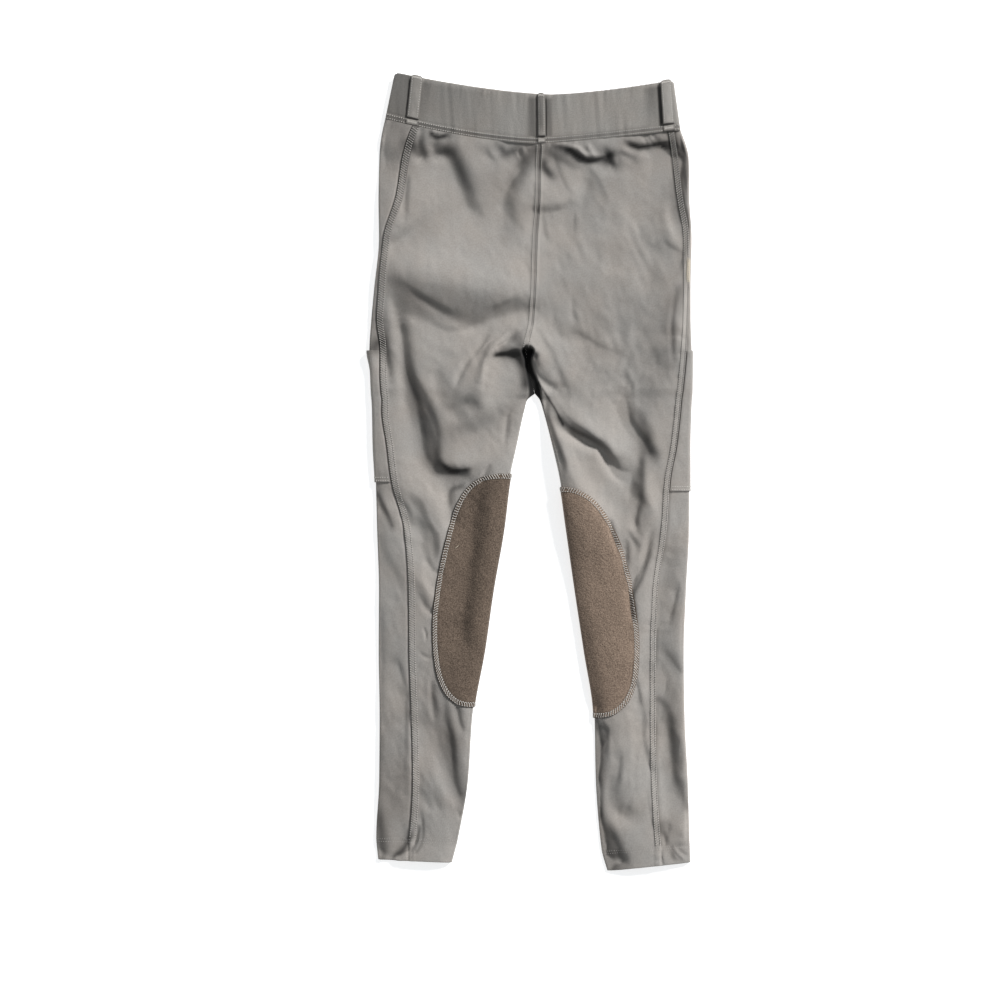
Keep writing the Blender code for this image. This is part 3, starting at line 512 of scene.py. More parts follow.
def smooth_path(points):
    """A fine line that bends smoothly through a few points."""
    ends = [2.0 * points[0] - points[1], *points, 2.0 * points[-1] - points[-2]]
    line = []
    for a, b, c, d in zip(ends, ends[1:], ends[2:], ends[3:]):
        for t in np.arange(STEPS_PER_SPAN) / STEPS_PER_SPAN:
            cubic = (3.0 * b - a - 3.0 * c + d) * t ** 3
            square = (2.0 * a - 5.0 * b + 4.0 * c - d) * t ** 2
            line.append(0.5 * (2.0 * b + (c - a) * t + square + cubic))
    return np.array([*line, points[-1]])


def crease_height(crease, x, y):
    """Height of a crease. Its width turns smoothly from the one hand to the other at its ends."""
    line = smooth_path(crease.path)
    mean_width = (crease.left_width + crease.right_width) / 2.0
    lean = (crease.left_width - crease.right_width) / 2.0
    share = np.zeros(x.shape)
    for index, (start, end) in enumerate(zip(line, line[1:])):
        dx, dy = end - start
        length = math.hypot(dx, dy)
        t = np.clip(((x - start[0]) * dx + (y - start[1]) * dy) / length ** 2, 0.0, 1.0)
        off_x = x - start[0] - t * dx
        off_y = y - start[1] - t * dy
        distance = np.hypot(off_x, off_y) + 1e-6
        leftwards = (dx * off_y - dy * off_x) / (length * distance)
        along = (index + t) / (len(line) - 1)
        fade = smooth_step(along / crease.fade_in) * smooth_step((1.0 - along) / crease.fade_out)
        width = mean_width + lean * leftwards
        share = np.maximum(share, fade * bell(distance, width))
    return crease.rise * share


def map_window(low, high):
    """The cells between two corners, as slices of the map and as places in millimetres."""
    first = np.maximum(np.floor((np.array(low) - MAP_LOW) / CELL).astype(int), 0)
    last = np.minimum(np.ceil((np.array(high) - MAP_LOW) / CELL).astype(int), np.array(MAP_SIZE) - 1)
    columns = np.arange(first[0], last[0] + 1)
    rows = np.arange(first[1], last[1] + 1)
    x, y = np.meshgrid(MAP_LOW[0] + columns * CELL, MAP_LOW[1] + rows * CELL, indexing="ij")
    return np.ix_(columns, rows), x, y


def drawn(strokes):
    """A map with all the strokes of a table added up."""
    heights = np.zeros(MAP_SIZE)
    for stroke in strokes:
        reach = REACH * max(stroke.left_width, stroke.right_width)
        window, x, y = map_window(stroke.path.min(0) - reach, stroke.path.max(0) + reach)
        heights[window] += crease_height(stroke, x, y)
    return heights


crease_map = drawn(CREASES)
shade_map = np.clip(drawn(SHADES), 0.0, 0.9)
print("creases run from", crease_map.min(), "to", crease_map.max(), "mm")

# %% [markdown]
# ## Crumples, gathers and puckers
# Cloth that is not pulled tight is never quite flat. A grid of random numbers, blended smoothly,
# gives soft hills of any size. Stretched across or along the cloth the same hills become gathers
# below the elastic waistband and puckers between two rows of stitches.

# %% Soft random hills
NOISE_CELLS = 256
SEED = {
    "gathers": 31, "puckers": 57, "back_loops": 63, "front_loops": 64,
    "underside": 77, "band_gathers": 91, "band_lines": 92,
}


def between(table, u, v, ease=lambda share: share):
    """Blend the four entries of a table round a place. Past its end a table starts again."""
    column, row = np.floor(u).astype(int), np.floor(v).astype(int)
    share_u, share_v = ease(u - column), ease(v - row)
    near_u, far_u = column % len(table), (column + 1) % len(table)
    near_v, far_v = row % len(table[0]), (row + 1) % len(table[0])
    low = table[near_u, near_v] * (1.0 - share_v) + table[near_u, far_v] * share_v
    high = table[far_u, near_v] * (1.0 - share_v) + table[far_u, far_v] * share_v
    return low * (1.0 - share_u) + high * share_u


def soft_noise(x, y, size_x, size_y, seed):
    """Smooth random hills of that size, from -1 to 1."""
    table = np.random.default_rng(seed).uniform(-1.0, 1.0, (NOISE_CELLS, NOISE_CELLS))
    return between(table, x / size_x, y / size_y, smooth_step)


def read_map(heights, x, y):
    """A value of a map at any place, blended between its four nearest cells."""
    u = np.clip((x - MAP_LOW[0]) / CELL, 0.0, MAP_SIZE[0] - 1.001)
    v = np.clip((y - MAP_LOW[1]) / CELL, 0.0, MAP_SIZE[1] - 1.001)
    return between(heights, u, v)


# Where the cloth is crumpled: middle, reach, height of the crumples and their size and slant.
Crumple = namedtuple("Crumple", "x y reach height size_across size_along slant")
CRUMPLES = [Crumple(*row) for row in (
    (85, 250, 95, 1.0, 13, 24, 0.3),
    (100, 130, 80, 0.75, 11, 20, -0.5),
    (-80, 110, 70, 0.45, 10, 22, 0.6),
    (-80, 240, 80, 0.35, 18, 22, 0.0),
    (-120, -90, 60, 0.50, 8, 18, 0.5),
    (130, -60, 60, 0.60, 9, 22, -0.2),
    (-110, -330, 75, 0.60, 10, 20, 0.3),
    (135, -330, 75, 0.60, 10, 20, -0.3),
    (95, 200, 110, 0.45, 6, 14, 0.35),
    (-80, 190, 90, 0.15, 7, 11, 0.0),
    (-100, -50, 70, 0.32, 5, 12, 0.5),
    (120, -20, 70, 0.25, 5, 12, -0.3),
    (-110, -300, 110, 0.34, 5, 11, 0.3),
    (125, -300, 110, 0.34, 5, 11, -0.3),
    (90, 90, 60, 0.45, 5, 9, -0.4),
    (0, 0, 900, 0.22, 5, 8, 0.4),
)]

_, x, y = map_window(MAP_LOW, MAP_LOW + CELL * np.array(MAP_SIZE))
for seed, crumple in enumerate(CRUMPLES):
    turned_x = (x - crumple.x) * math.cos(crumple.slant) + (y - crumple.y) * math.sin(crumple.slant)
    turned_y = (y - crumple.y) * math.cos(crumple.slant) - (x - crumple.x) * math.sin(crumple.slant)
    strength = np.exp(-((x - crumple.x) ** 2 + (y - crumple.y) ** 2) / crumple.reach ** 2)
    hills = soft_noise(turned_x, turned_y, crumple.size_across, crumple.size_along, seed)
    crease_map += crumple.height * strength * hills

# Fine gathers hang from the waist seam: how high they are, how wide and long, how far they reach.
GATHER_HEIGHT = 0.75
GATHER_SIZE = (4.2, 40.0)
GATHER_REACH = 8.0
GATHER_SLANT = 0.15

below_waist = waist_seam_y(x) - y
gathers = soft_noise(x + GATHER_SLANT * below_waist, y, *GATHER_SIZE, SEED["gathers"])
crease_map += GATHER_HEIGHT * gathers * np.exp(-np.maximum(below_waist, 0.0) / GATHER_REACH)
print("the map now runs from", crease_map.min(), "to", crease_map.max(), "mm")

# %% [markdown]
# ## The hollow at the crotch
# Where the legs part, both back panels turn down into a dark cleft that narrows upwards. Two
# curves give its left and right lip. Inside them the cloth drops to just above the bottom layer.

# %% The cleft between the legs
CLEFT_TOP = 139.0
CLEFT_FLOOR = 3.2
CLEFT_WALL = 3.0                    # distance over which the cloth turns down
CLEFT_TOP_FADE = 6.0
CLEFT_BELOW = 22.0                  # how far the cleft runs on below the crotch
CLEFT_BOTTOM_FADE = 14.0
CLEFT_Y = [60, 78, 87, 100, 111, 122, 132, 139]
cleft_left = smooth_curve(CLEFT_Y, [-9.0, -2.5, -1.0, -2.5, -4.5, -6.5, -9.0, -4.0])
cleft_right = smooth_curve(CLEFT_Y, [19.0, 16.0, 15.0, 11.0, 6.5, 4.5, 7.0, 2.0])


def cleft(x, y):
    """How far inside the cleft a point is: 0 outside it, 1 at its bottom."""
    from_left = smooth_step((x - cleft_left(y)) / CLEFT_WALL)
    from_right = smooth_step((cleft_right(y) - x) / CLEFT_WALL)
    top = smooth_step((CLEFT_TOP - y) / CLEFT_TOP_FADE)
    bottom = smooth_step((y - CROTCH_Y + CLEFT_BELOW) / CLEFT_BOTTOM_FADE)
    return from_left * from_right * top * bottom


print("cleft is", cleft_right(100.0) - cleft_left(100.0), "mm wide at y = 100")

# %% [markdown]
# ## The height of the top layer
# Cloth laid flat still holds a little air: it stands lowest at its edges and highest in the middle
# of a leg. To that crown come the creases, the cleft, and the lift from the pocket and the patch
# that lie under the leg. A lapped seam adds a raised band, with a small step down beyond its fold.

# %% Height of the cloth
CLOTH = 1.2                         # thickness of the body cloth
SUEDE = 1.2
EDGE_RADIUS = 2.5
EDGE_HEIGHT = 5.2
CROWN = 8.0
OUTER_REACH = (24.0, 42.0)          # a seat rises quickly from its outer edge, a leg slowly
INNER_REACH = {"left": 9.0, "right": 15.0}     # a leg falls quickly at its inner edge
CROTCH_CURL = 7.0
LEAST_HEIGHT = 3.0                  # two layers of cloth and a little air
POCKET_MOUTH = 132.0
POCKET_BOTTOM = {"left": -12.0, "right": -22.0}
UNDER_LAYER = SUEDE + SEAM_GAP
LIFT_RAMP = 22.0
LAP_WIDTH = 7.5                     # raised band of a lapped seam
LAP_HEIGHT = 0.55
LAP_STEP = 0.9                      # drop beyond the fold of a lapped seam
LAP_EDGES = (1.2, 2.0, 1.6)         # how wide its fold, its inner edge and its step are
CENTRE_BAND = 0.4                   # height of the centre-back seam's band
CENTRE_HALF_WIDTH = 5.6
CENTRE_EDGE = 2.4
CENTRE_GROOVE = (0.5, 0.9)          # depth and width of the groove along its middle
CENTRE_START = 4.0                  # it starts so far above the cleft, and is full after the fade
CENTRE_FADE = 12.0
PUCKER_HEIGHT = 0.4
PUCKER_SIZE = (3.0, 3.4)
PUCKER_DRAW = 0.2                   # drawn out across the seam: x counts for so little

Patch = namedtuple("Patch", "top bottom half_width top_power bottom_power")
PATCHES = {
    "left": Patch(-3.5, -259.0, 60.0, 3.2, 2.2),
    "right": Patch(-18.0, -271.0, 60.0, 2.2, 2.3),
}


def inwards_from(side, edge):
    """Which way x runs from an edge of a leg to its middle."""
    return 1.0 if (side == "left") == (edge == "outer") else -1.0


def lift(side, y):
    """How far a leg is lifted by the pocket and the patch that lie under it."""
    below_top = smooth_step((POCKET_MOUTH + LIFT_RAMP - y) / LIFT_RAMP)
    above_bottom = smooth_step((y - PATCHES[side].bottom + LIFT_RAMP) / LIFT_RAMP)
    return UNDER_LAYER * below_top * above_bottom


def lap(from_seam):
    """Height of a lapped seam: raised on the inner side of its fold, stepped down beyond it."""
    fold, inner, beyond = LAP_EDGES
    band = LAP_HEIGHT * smooth_step(from_seam / fold) * smooth_step((LAP_WIDTH - from_seam) / inner)
    step = -LAP_STEP * bell(from_seam, beyond)
    return np.where(from_seam > 0.0, band, step)


def centre_band(from_seam):
    """Height of the centre-back seam: a flat raised band with a groove along its middle."""
    distance = np.abs(from_seam)
    depth, width = CENTRE_GROOVE
    band = CENTRE_BAND * smooth_step((CENTRE_HALF_WIDTH - distance) / CENTRE_EDGE)
    return band - depth * bell(distance, width)


def top_z(side, x, y):
    """Height of the outside of the top layer."""
    from_outer = np.abs(x - EDGE["outer_" + side](y))
    from_inner = np.abs(x - EDGE["inner_" + side](y))
    open_leg = smooth_step((CROTCH_Y + CROTCH_CURL - y) / (2.0 * CROTCH_CURL))
    outer_reach = OUTER_REACH[0] + (OUTER_REACH[1] - OUTER_REACH[0]) * open_leg
    crown = 1.0 - np.exp(-from_outer / outer_reach)
    crown = crown * (1.0 - open_leg * np.exp(-from_inner / INNER_REACH[side]))
    from_seam = (x - SIDE_SEAM[side](y)) * inwards_from(side, "outer")
    puckers = soft_noise(x * PUCKER_DRAW, y, *PUCKER_SIZE, SEED["puckers"])
    near_side_seam = bell(from_seam - 3.5, 3.5)
    near_centre = bell(from_inner, 4.5) * (1.0 - open_leg)
    height = EDGE_HEIGHT + CROWN * crown + read_map(crease_map, x, y)
    height = height + lap(from_seam) + PUCKER_HEIGHT * puckers * (near_side_seam + near_centre)
    height = height + centre_band(from_inner) * smooth_step((y - CLEFT_TOP - CENTRE_START) / CENTRE_FADE)
    inside = cleft(x, y)
    height = height * (1.0 - inside) + CLEFT_FLOOR * inside
    return lift(side, y) + np.maximum(height, LEAST_HEIGHT)


print("cloth stands", top_z("left", -80.0, 240.0), "mm high in the middle of the seat")

# %% [markdown]
# ## Points of the flattened leg
# Every sheet of a leg is a stretch of one flattened tube. A point of it is named by its station
# down the leg and its place round the tube, measured from the top of an edge fold: negative
# places are on the top layer, then comes the fold, then the underside. The fold is half an
# ellipse. The outward direction is found from two small steps along the surface.

# %% Surface of a leg
EdgeFold = namedtuple("EdgeFold", "bend_x inwards top base turn")
PROBE = 0.6                         # small step along the cloth, to find which way it faces
UNDER_RIPPLE = 0.35                 # gentle waves of the bottom layer, their size and their fade
RIPPLE_SIZE = (17.0, 26.0)
RIPPLE_FADE = 8.0
BUTT_GAP = 0.04                     # the two halves meet edge to edge at the centre seam


def crotch_turn(station):
    return smooth_step((CROTCH_Y + CROTCH_CURL - station) / CROTCH_CURL)


def edge_fold(side, edge, station):
    inwards = inwards_from(side, edge)
    extreme = EDGE[edge + "_" + side](station)
    bend_x = extreme + inwards * EDGE_RADIUS
    if edge == "inner":
        turned = np.sin(0.5 * math.pi * crotch_turn(station))
        closed = extreme + inwards * (BUTT_GAP / 2.0 + EDGE_RADIUS * turned)
        bend_x = np.where(station >= CROTCH_Y, closed, bend_x)
    top = top_z(side, bend_x, true_y(side, bend_x, station))
    base = lift(side, station)
    turn = math.pi * np.sqrt((EDGE_RADIUS ** 2 + ((top - base) / 2.0) ** 2) / 2.0)
    return EdgeFold(bend_x, inwards, top, base, turn)


def inseam_places(station, turn):
    """Where the back and the front panel end, measured round the inner fold from its top."""
    turned = crotch_turn(station) * (turn - SEAM_GAP) / 2.0
    return turned, turn - turned


def leg_point(side, edge, station, place):
    """Points of the tube's outside, as an array whose last axis is x, y, z."""
    fold = edge_fold(side, edge, station)
    past = np.maximum(place - fold.turn, 0.0)
    before = np.minimum(place, 0.0)
    angle = math.pi * np.clip(place / fold.turn, 0.0, 1.0)
    x = fold.bend_x + fold.inwards * (past - before - EDGE_RADIUS * np.sin(angle))
    y = true_y(side, x, station)
    round_z = fold.base + (fold.top - fold.base) / 2.0 * (1.0 + np.cos(angle))
    waves = (1.0 + soft_noise(x, y, *RIPPLE_SIZE, SEED["underside"])) / 2.0
    under = UNDER_RIPPLE * waves * smooth_step(past / RIPPLE_FADE)
    z = np.where(place < 0.0, top_z(side, x, y), round_z) + under
    return joined(x, y, z)


def leg_normal(side, edge, station, place):
    """The way out of the tube at those points."""
    across = leg_point(side, edge, station, place + PROBE) - leg_point(side, edge, station, place - PROBE)
    down = leg_point(side, edge, station - PROBE, place) - leg_point(side, edge, station + PROBE, place)
    return unit(np.cross(across, down) * inwards_from(side, edge))


def moved_out(side, edge, station, place, distance):
    """Points that lie a distance outside the tube."""
    normal = leg_normal(side, edge, station, place)
    return leg_point(side, edge, station, place) + normal * np.asarray(distance)[..., None]


print("left inner fold at the knee:", edge_fold("left", "inner", np.array(-131.0)).bend_x)

# %% [markdown]
# ## Writing a material as sums
# A material is a network of small boxes, which is slow to read. This class wraps one output of
# such a box, so that values can be added, multiplied and mixed in Python as if they were numbers.
# One method, `put`, adds any other kind of box.

# %% A value inside a material
class Wire:
    """One value of a material: a number, a vector or a colour that varies over a surface."""

    def __init__(self, tree, socket=None):
        self.tree = tree
        self.socket = socket

    def put(self, kind, settings, values, output=0):
        """Add a box of any kind, with its settings and the values or wires of its sockets."""
        box = self.tree.nodes.new(kind)
        for name, value in settings.items():
            setattr(box, name, value)
        for name, value in values.items():
            if isinstance(value, Wire):
                self.tree.links.new(value.socket, box.inputs[name])
            else:
                box.inputs[name].default_value = value
        return Wire(self.tree, box.outputs[output])

    def combine(self, operation, first, second):
        wires = [value for value in (first, second) if isinstance(value, Wire)]
        if not any(wire.socket.type in ("VECTOR", "RGBA") for wire in wires):
            return self.put("ShaderNodeMath", {"operation": operation}, {0: first, 1: second})
        spread = [value if isinstance(value, Wire) else (value,) * 3 for value in (first, second)]
        return self.put("ShaderNodeVectorMath", {"operation": operation}, {0: spread[0], 1: spread[1]})

    def __add__(self, other):
        return self.combine("ADD", self, other)

    __radd__ = __add__

    def __sub__(self, other):
        return self.combine("SUBTRACT", self, other)

    def __rsub__(self, other):
        return self.combine("SUBTRACT", other, self)

    def __mul__(self, other):
        return self.combine("MULTIPLY", self, other)

    __rmul__ = __mul__

    def part(self, axis):
        return self.put("ShaderNodeSeparateXYZ", {}, {0: self}, "XYZ".index(axis))

    def limited(self, low, high):
        """Stretch the stretch from low to high over 0 to 1, and cut off what is beyond it."""
        return self.put("ShaderNodeMapRange", {"clamp": True}, {0: self, 1: low, 2: high, 3: 0.0, 4: 1.0})

    def mixed(self, first, second):
        """Blend two colours by this value."""
        return self.put("ShaderNodeMix", {"data_type": "RGBA"}, {0: self, 6: first, 7: second}, 2)

    def noise(self, per_metre, detail=2.0):
        """Random hills over these places, that many to the metre, from 0 to 1."""
        return self.put("ShaderNodeTexNoise", {}, {"Vector": self, "Scale": per_metre, "Detail": detail})


def new_material(name):
    """An empty material with its shader, and a wire of the places on the surface in metres."""
    material = bpy.data.materials.new(name)
    material.use_nodes = True
    tree = material.node_tree
    shader = tree.nodes["Principled BSDF"]
    place = Wire(tree).put("ShaderNodeTexCoord", {}, {}, "Object")
    return material, shader, place


def feed(shader, name, wire):
    wire.tree.links.new(wire.socket, shader.inputs[name])


def set_constants(shader, roughness, specular, sheen, sheen_roughness):
    shader.inputs["Roughness"].default_value = roughness
    shader.inputs["Specular IOR Level"].default_value = specular
    shader.inputs["Sheen Weight"].default_value = sheen
    shader.inputs["Sheen Roughness"].default_value = sheen_roughness


def feed_relief(shader, relief, strength, distance):
    """Let a height in the material turn the surface's light a little."""
    bump = relief.put("ShaderNodeBump", {}, {"Strength": strength, "Distance": distance, "Height": relief})
    feed(shader, "Normal", bump)


print("materials are written with the Wire class")

# %% [markdown]
# ## Stretch cloth
# Breeches are cut from a firm knit of nylon and elastane with a fine twill face. Up close it has
# tiny slanted ribs, and from further off it is a warm grey with a faint mottle. Light that grazes
# it catches the fine fuzz, which is the sheen. Deep folds, seam strips and the cleft are darkened
# by painted shade, a value stored on the cloth itself.

# %% Cloth materials
TWILL_TURNS = 2.0 * math.pi / 0.0009        # one slanted rib every 0.9 mm


def cloth_material(name, color, mottle, roughness):
    material, shader, place = new_material(name)
    clouds = place.noise(38.0, 3.0) - 0.5
    grain = place.noise(620.0, 1.0) - 0.5
    painted_shade = place.put("ShaderNodeAttribute", {"attribute_name": "painted_shade"}, {}, "Fac")
    warm = place.noise(22.0).limited(0.35, 0.65)
    tone = warm.mixed(color, [color[0] * 1.02, color[1] * 0.985, color[2] * 0.96, 1.0])
    # The stored value is painted shade: it darkens the colour where shade would fall.
    level = (1.0 + clouds * mottle + grain * 0.34) * (1.0 - painted_shade)
    feed(shader, "Base Color", tone * level)
    set_constants(shader, roughness, specular=0.25, sheen=0.12, sheen_roughness=0.5)
    slanted = (place.part("X") + place.part("Y") * 0.7) * TWILL_TURNS
    ribs = slanted.put("ShaderNodeMath", {"operation": "SINE"}, {0: slanted})
    relief = ribs * 0.25 + place.noise(900.0, 2.0) + place.noise(150.0, 2.0) * 0.7
    feed_relief(shader, relief, strength=0.5, distance=0.0004)
    return material


CLOTH_COLOR = [0.350, 0.330, 0.308, 1.0]
BAND_COLOR = [0.305, 0.290, 0.269, 1.0]
stretch_cloth = cloth_material("stretch_cloth_finish", CLOTH_COLOR, 0.10, 0.82)
band_cloth = cloth_material("waistband_cloth_finish", BAND_COLOR, 0.12, 0.85)
print("cloth materials:", stretch_cloth.name, band_cloth.name)

# %% [markdown]
# ## Suede and thread
# The knee patches are synthetic suede: a short nap of countless fibres that lie in all
# directions, so the surface is a fine mix of dark and light specks and never shines. Broad soft
# clouds are where a hand has brushed the nap. The seam thread is lighter than the cloth.

# %% Suede and thread materials
def suede_material(name, dark, light):
    material, shader, place = new_material(name)
    fibres = place.noise(760.0, 2.0).limited(0.30, 0.70)
    brushed = place.noise(20.0, 2.0) - 0.5
    painted_shade = place.put("ShaderNodeAttribute", {"attribute_name": "painted_shade"}, {}, "Fac")
    # The stored value is painted shade: it darkens the colour where shade would fall.
    level = (1.0 + brushed * 0.45) * (1.0 - painted_shade)
    feed(shader, "Base Color", fibres.mixed(dark, light) * level)
    set_constants(shader, roughness=0.95, specular=0.1, sheen=0.12, sheen_roughness=0.6)
    nap = place.noise(1100.0, 2.0) + place.noise(420.0, 1.0)
    feed_relief(shader, nap, strength=0.8, distance=0.0006)
    return material


def thread_material(name, color):
    material, shader, place = new_material(name)
    level = 0.85 + place.noise(500.0) * 0.3
    tone = place.put("ShaderNodeRGB", {}, {})
    tone.socket.default_value = color
    feed(shader, "Base Color", tone * level)
    shader.inputs["Roughness"].default_value = 0.6
    return material


# The nap of the two patches is brushed opposite ways, so one looks darker than the other. That look
# is painted: the left patch's colours are a shaded copy and the right patch's a lit copy of one suede.
suede = {
    "left": suede_material("suede_painted_shade_left", [0.074, 0.053, 0.039, 1.0], [0.215, 0.161, 0.122, 1.0]),
    "right": suede_material("suede_painted_light_right", [0.148, 0.105, 0.077, 1.0], [0.350, 0.258, 0.196, 1.0]),
}
thread = thread_material("thread_finish", [0.60, 0.57, 0.53, 1.0])
matching_thread = thread_material("matching_thread_finish", [0.38, 0.36, 0.335, 1.0])
# Dark beads of painted shade stand in for the needle holes.
needle_hole = thread_material("needle_hole_painted_shade", [0.085, 0.080, 0.074, 1.0])
cream_thread = thread_material("cream_thread_finish", [0.68, 0.60, 0.47, 1.0])

# %% [markdown]
# ## From a grid of points to a sheet of cloth
# A sheet is a grid of points, each joined to its neighbours. A Solidify modifier then gives it the
# thickness of the cloth, inwards, so the outside stays where it was put. Cut edges that are turned
# under get a few more rows that curl round the edge, so no sheet ends in a knife edge.

# %% Sheets of cloth
TURN_STEPS = 3                      # rows that curl round a turned edge
ALL_EDGES = ("first_row", "last_row", "first_column", "last_column")
SMOOTH_ANGLE = 75.0                 # a sharper bend than this stays a hard edge


def grid_normals(points):
    """Which way each point of a grid faces, found from its neighbours."""
    down, across = np.gradient(points, axis=(0, 1))
    return unit(np.cross(across, down))


def turned_under(points, radius, facing):
    """Add rows after the last one that curl round a turned edge."""
    out = grid_normals(points)[-1] * facing
    onwards = unit(points[-1] - points[-2])
    angles = 0.5 * math.pi * np.arange(1, TURN_STEPS + 1) / TURN_STEPS
    curl = [
        points[-1] + onwards * radius * math.sin(angle) - out * radius * (1.0 - math.cos(angle))
        for angle in angles]
    return np.concatenate([points, np.array(curl)])


def turned_all(points, radius, facing, edges):
    """Turn some edges of a grid under, any of ALL_EDGES."""
    if "last_row" in edges:
        points = turned_under(points, radius, facing)
    if "first_row" in edges:
        points = turned_under(points[::-1], radius, -facing)[::-1]
    swapped = points.transpose(1, 0, 2)
    if "last_column" in edges:
        swapped = turned_under(swapped, radius, -facing)
    if "first_column" in edges:
        swapped = turned_under(swapped[::-1], radius, facing)[::-1]
    return swapped.transpose(1, 0, 2)


def add_object(name, data):
    thing = bpy.data.objects.new(name, data)
    bpy.context.scene.collection.objects.link(thing)
    return thing


def cloth_sheet(kind, which, points, facing, thickness, material, stuff="cloth", ring=False, painted_shade=None):
    """A sheet of cloth from a grid of points in millimetres. It takes its solid's place.

    facing is 1 or -1, for the winding of its faces, and painted_shade is the painted shade stored on it.
    """
    name = "_".join((kind, stuff, which))
    rows, columns = points.shape[:2]
    points = np.concatenate([points[..., :2], np.maximum(points[..., 2:], 0.0)], axis=-1)
    number = np.arange(rows * columns).reshape(rows, columns)
    if ring:
        number = np.concatenate([number, number[:, :1]], axis=1)
    corners = [number[:-1, :-1], number[:-1, 1:], number[1:, 1:], number[1:, :-1]]
    if facing < 0:
        corners.reverse()
    faces = np.stack(corners, axis=-1).reshape(-1, 4)
    mesh = bpy.data.meshes.new(name)
    mesh.from_pydata((points.reshape(-1, 3) * MM).tolist(), [], faces.tolist())
    # The painted shade is stored on each point, and the material darkens its colour by it.
    if painted_shade is not None:
        stored = mesh.attributes.new("painted_shade", "FLOAT", "POINT")
        stored.data.foreach_set("value", np.ascontiguousarray(painted_shade, np.float32).ravel())
    sheet = add_object(name, mesh)
    mesh.materials.append(material)
    bpy.ops.object.select_all(action="DESELECT")
    bpy.context.view_layer.objects.active = sheet
    sheet.select_set(True)
    wall = sheet.modifiers.new("cloth_thickness", "SOLIDIFY")
    wall.thickness = thickness * MM
    wall.offset = -1.0
    bpy.ops.object.modifier_apply(modifier=wall.name)
    for corner in sheet.data.vertices:
        corner.co.z = max(corner.co.z, 0.0)
    bpy.ops.object.shade_smooth_by_angle(angle=math.radians(SMOOTH_ANGLE))
    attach(sheet, "root")
    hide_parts(kind + "_" + which)
    print(name, len(sheet.data.polygons), "faces")
    return sheet


print("a turned edge has", TURN_STEPS, "extra rows")

# %% [markdown]
# ## Stations and the panels of a leg
# Rows of points run across a leg at stations from the waist seam to the hem's seam. They are
# closer together round the crotch, where the cloth turns sharply. Each leg has three panels: the
# back panel on top, the side panel round the outer edge and the front panel underneath.

# %% Leg panels
SIDE_UNDER = 32.0                   # how far the side panel reaches under the leg
PANEL_TURN = 0.5                    # radius of a panel's edge where it is lapped over its neighbour
BACK_COLUMNS = 108                  # columns of points, closer together at the inner fold
FRONT_COLUMNS = 30
ROW_STEPS = (2.0, 1.3)              # between rows on top, and round the crotch
UNDER_STEPS = (4.0, 2.6)            # the same for the plain front panels
FINE_SPAN = (60.0, 150.0)           # stations with the closer rows
FOLD_COLUMNS = 9                    # columns round an edge fold
UNDER_COLUMNS = 9                   # columns of a side panel or pocket on the underside
SIDE_STRIP = (3.7, 3.4)             # middle and half width of the strip between a side seam's rows
CENTRE_STRIP = 1.5                  # half width of the centre seam's strip
# The painted shade of the seam strips grows over this height towards the waist.
STITCH_SHADE = (170.0, 120.0)       # height over which the shade of the strips grows to the waist
# How dark the painted shade at the bottom of the cleft is.
CLEFT_PAINTED_SHADE = 0.96


def station_rows(top, bottom, step, fine_step=None):
    """Stations from top to bottom, closer together round the crotch."""
    stations = [top]
    while stations[-1] > bottom:
        near_crotch = fine_step is not None and FINE_SPAN[0] < stations[-1] < FINE_SPAN[1]
        stations.append(stations[-1] - (fine_step if near_crotch else step))
    stations[-1] = bottom
    return np.array(stations)[:, None]


def seam_place(side, station):
    """Place of the side seam, measured from the outer fold."""
    bend_x = EDGE["outer_" + side](station) + inwards_from(side, "outer") * EDGE_RADIUS
    return -np.abs(EDGE["seam_" + side](station) - bend_x)


def strip_shade(distance, half_width, inside_dark=0.36, line_dark=0.26):
    """Painted shade between the threads of a seam, which is darkest along both sides of its strip."""
    inside = smooth_step((half_width + 0.9 - np.abs(distance)) / 0.9)
    lines = bell(np.abs(distance) - half_width, 0.8)
    return inside_dark * inside + line_dark * lines


def fold_shade(points):
    """Painted shade of the deep folds, for the top layer of cloth only."""
    on_top = smooth_step((points[..., 2] - 2.2) / 2.0)
    return read_map(shade_map, points[..., 0], points[..., 1]) * on_top


def darker(first, second):
    """Two shades on top of each other."""
    return 1.0 - (1.0 - first) * (1.0 - second)


def painted_shade_at(side, points):
    """Painted shade stored on the cloth: almost black in the cleft, a little under the stitches and in the
    deep folds.
    """
    x, y = points[..., 0], points[..., 1]
    from_seam = (x - SIDE_SEAM[side](y)) * inwards_from(side, "outer")
    middle, half_width = SIDE_STRIP
    # The painted shade of the strips between the stitches is stronger near the waist.
    near_waist = smooth_step((y - STITCH_SHADE[0]) / STITCH_SHADE[1])
    side_strip = strip_shade(from_seam - middle, half_width, 0.06 + 0.34 * near_waist, 0.25 * near_waist)
    # A thin line of painted shadow along the fold of each side seam.
    painted_fold_line = 0.45 if side == "left" else 0.08 + 0.30 * smooth_step((y + 20.0) / 60.0)
    side_strip = np.maximum(side_strip, painted_fold_line * bell(from_seam, 0.9))
    from_centre = x - EDGE["inner_" + side](y)
    centre_strip = strip_shade(from_centre, CENTRE_STRIP, 0.12 + 0.3 * near_waist, 0.0)
    strips = np.maximum(side_strip, centre_strip * smooth_step((y - CLEFT_TOP) / 8.0))
    return darker(darker(strips, fold_shade(points)), CLEFT_PAINTED_SHADE * np.sqrt(cleft(x, y)))


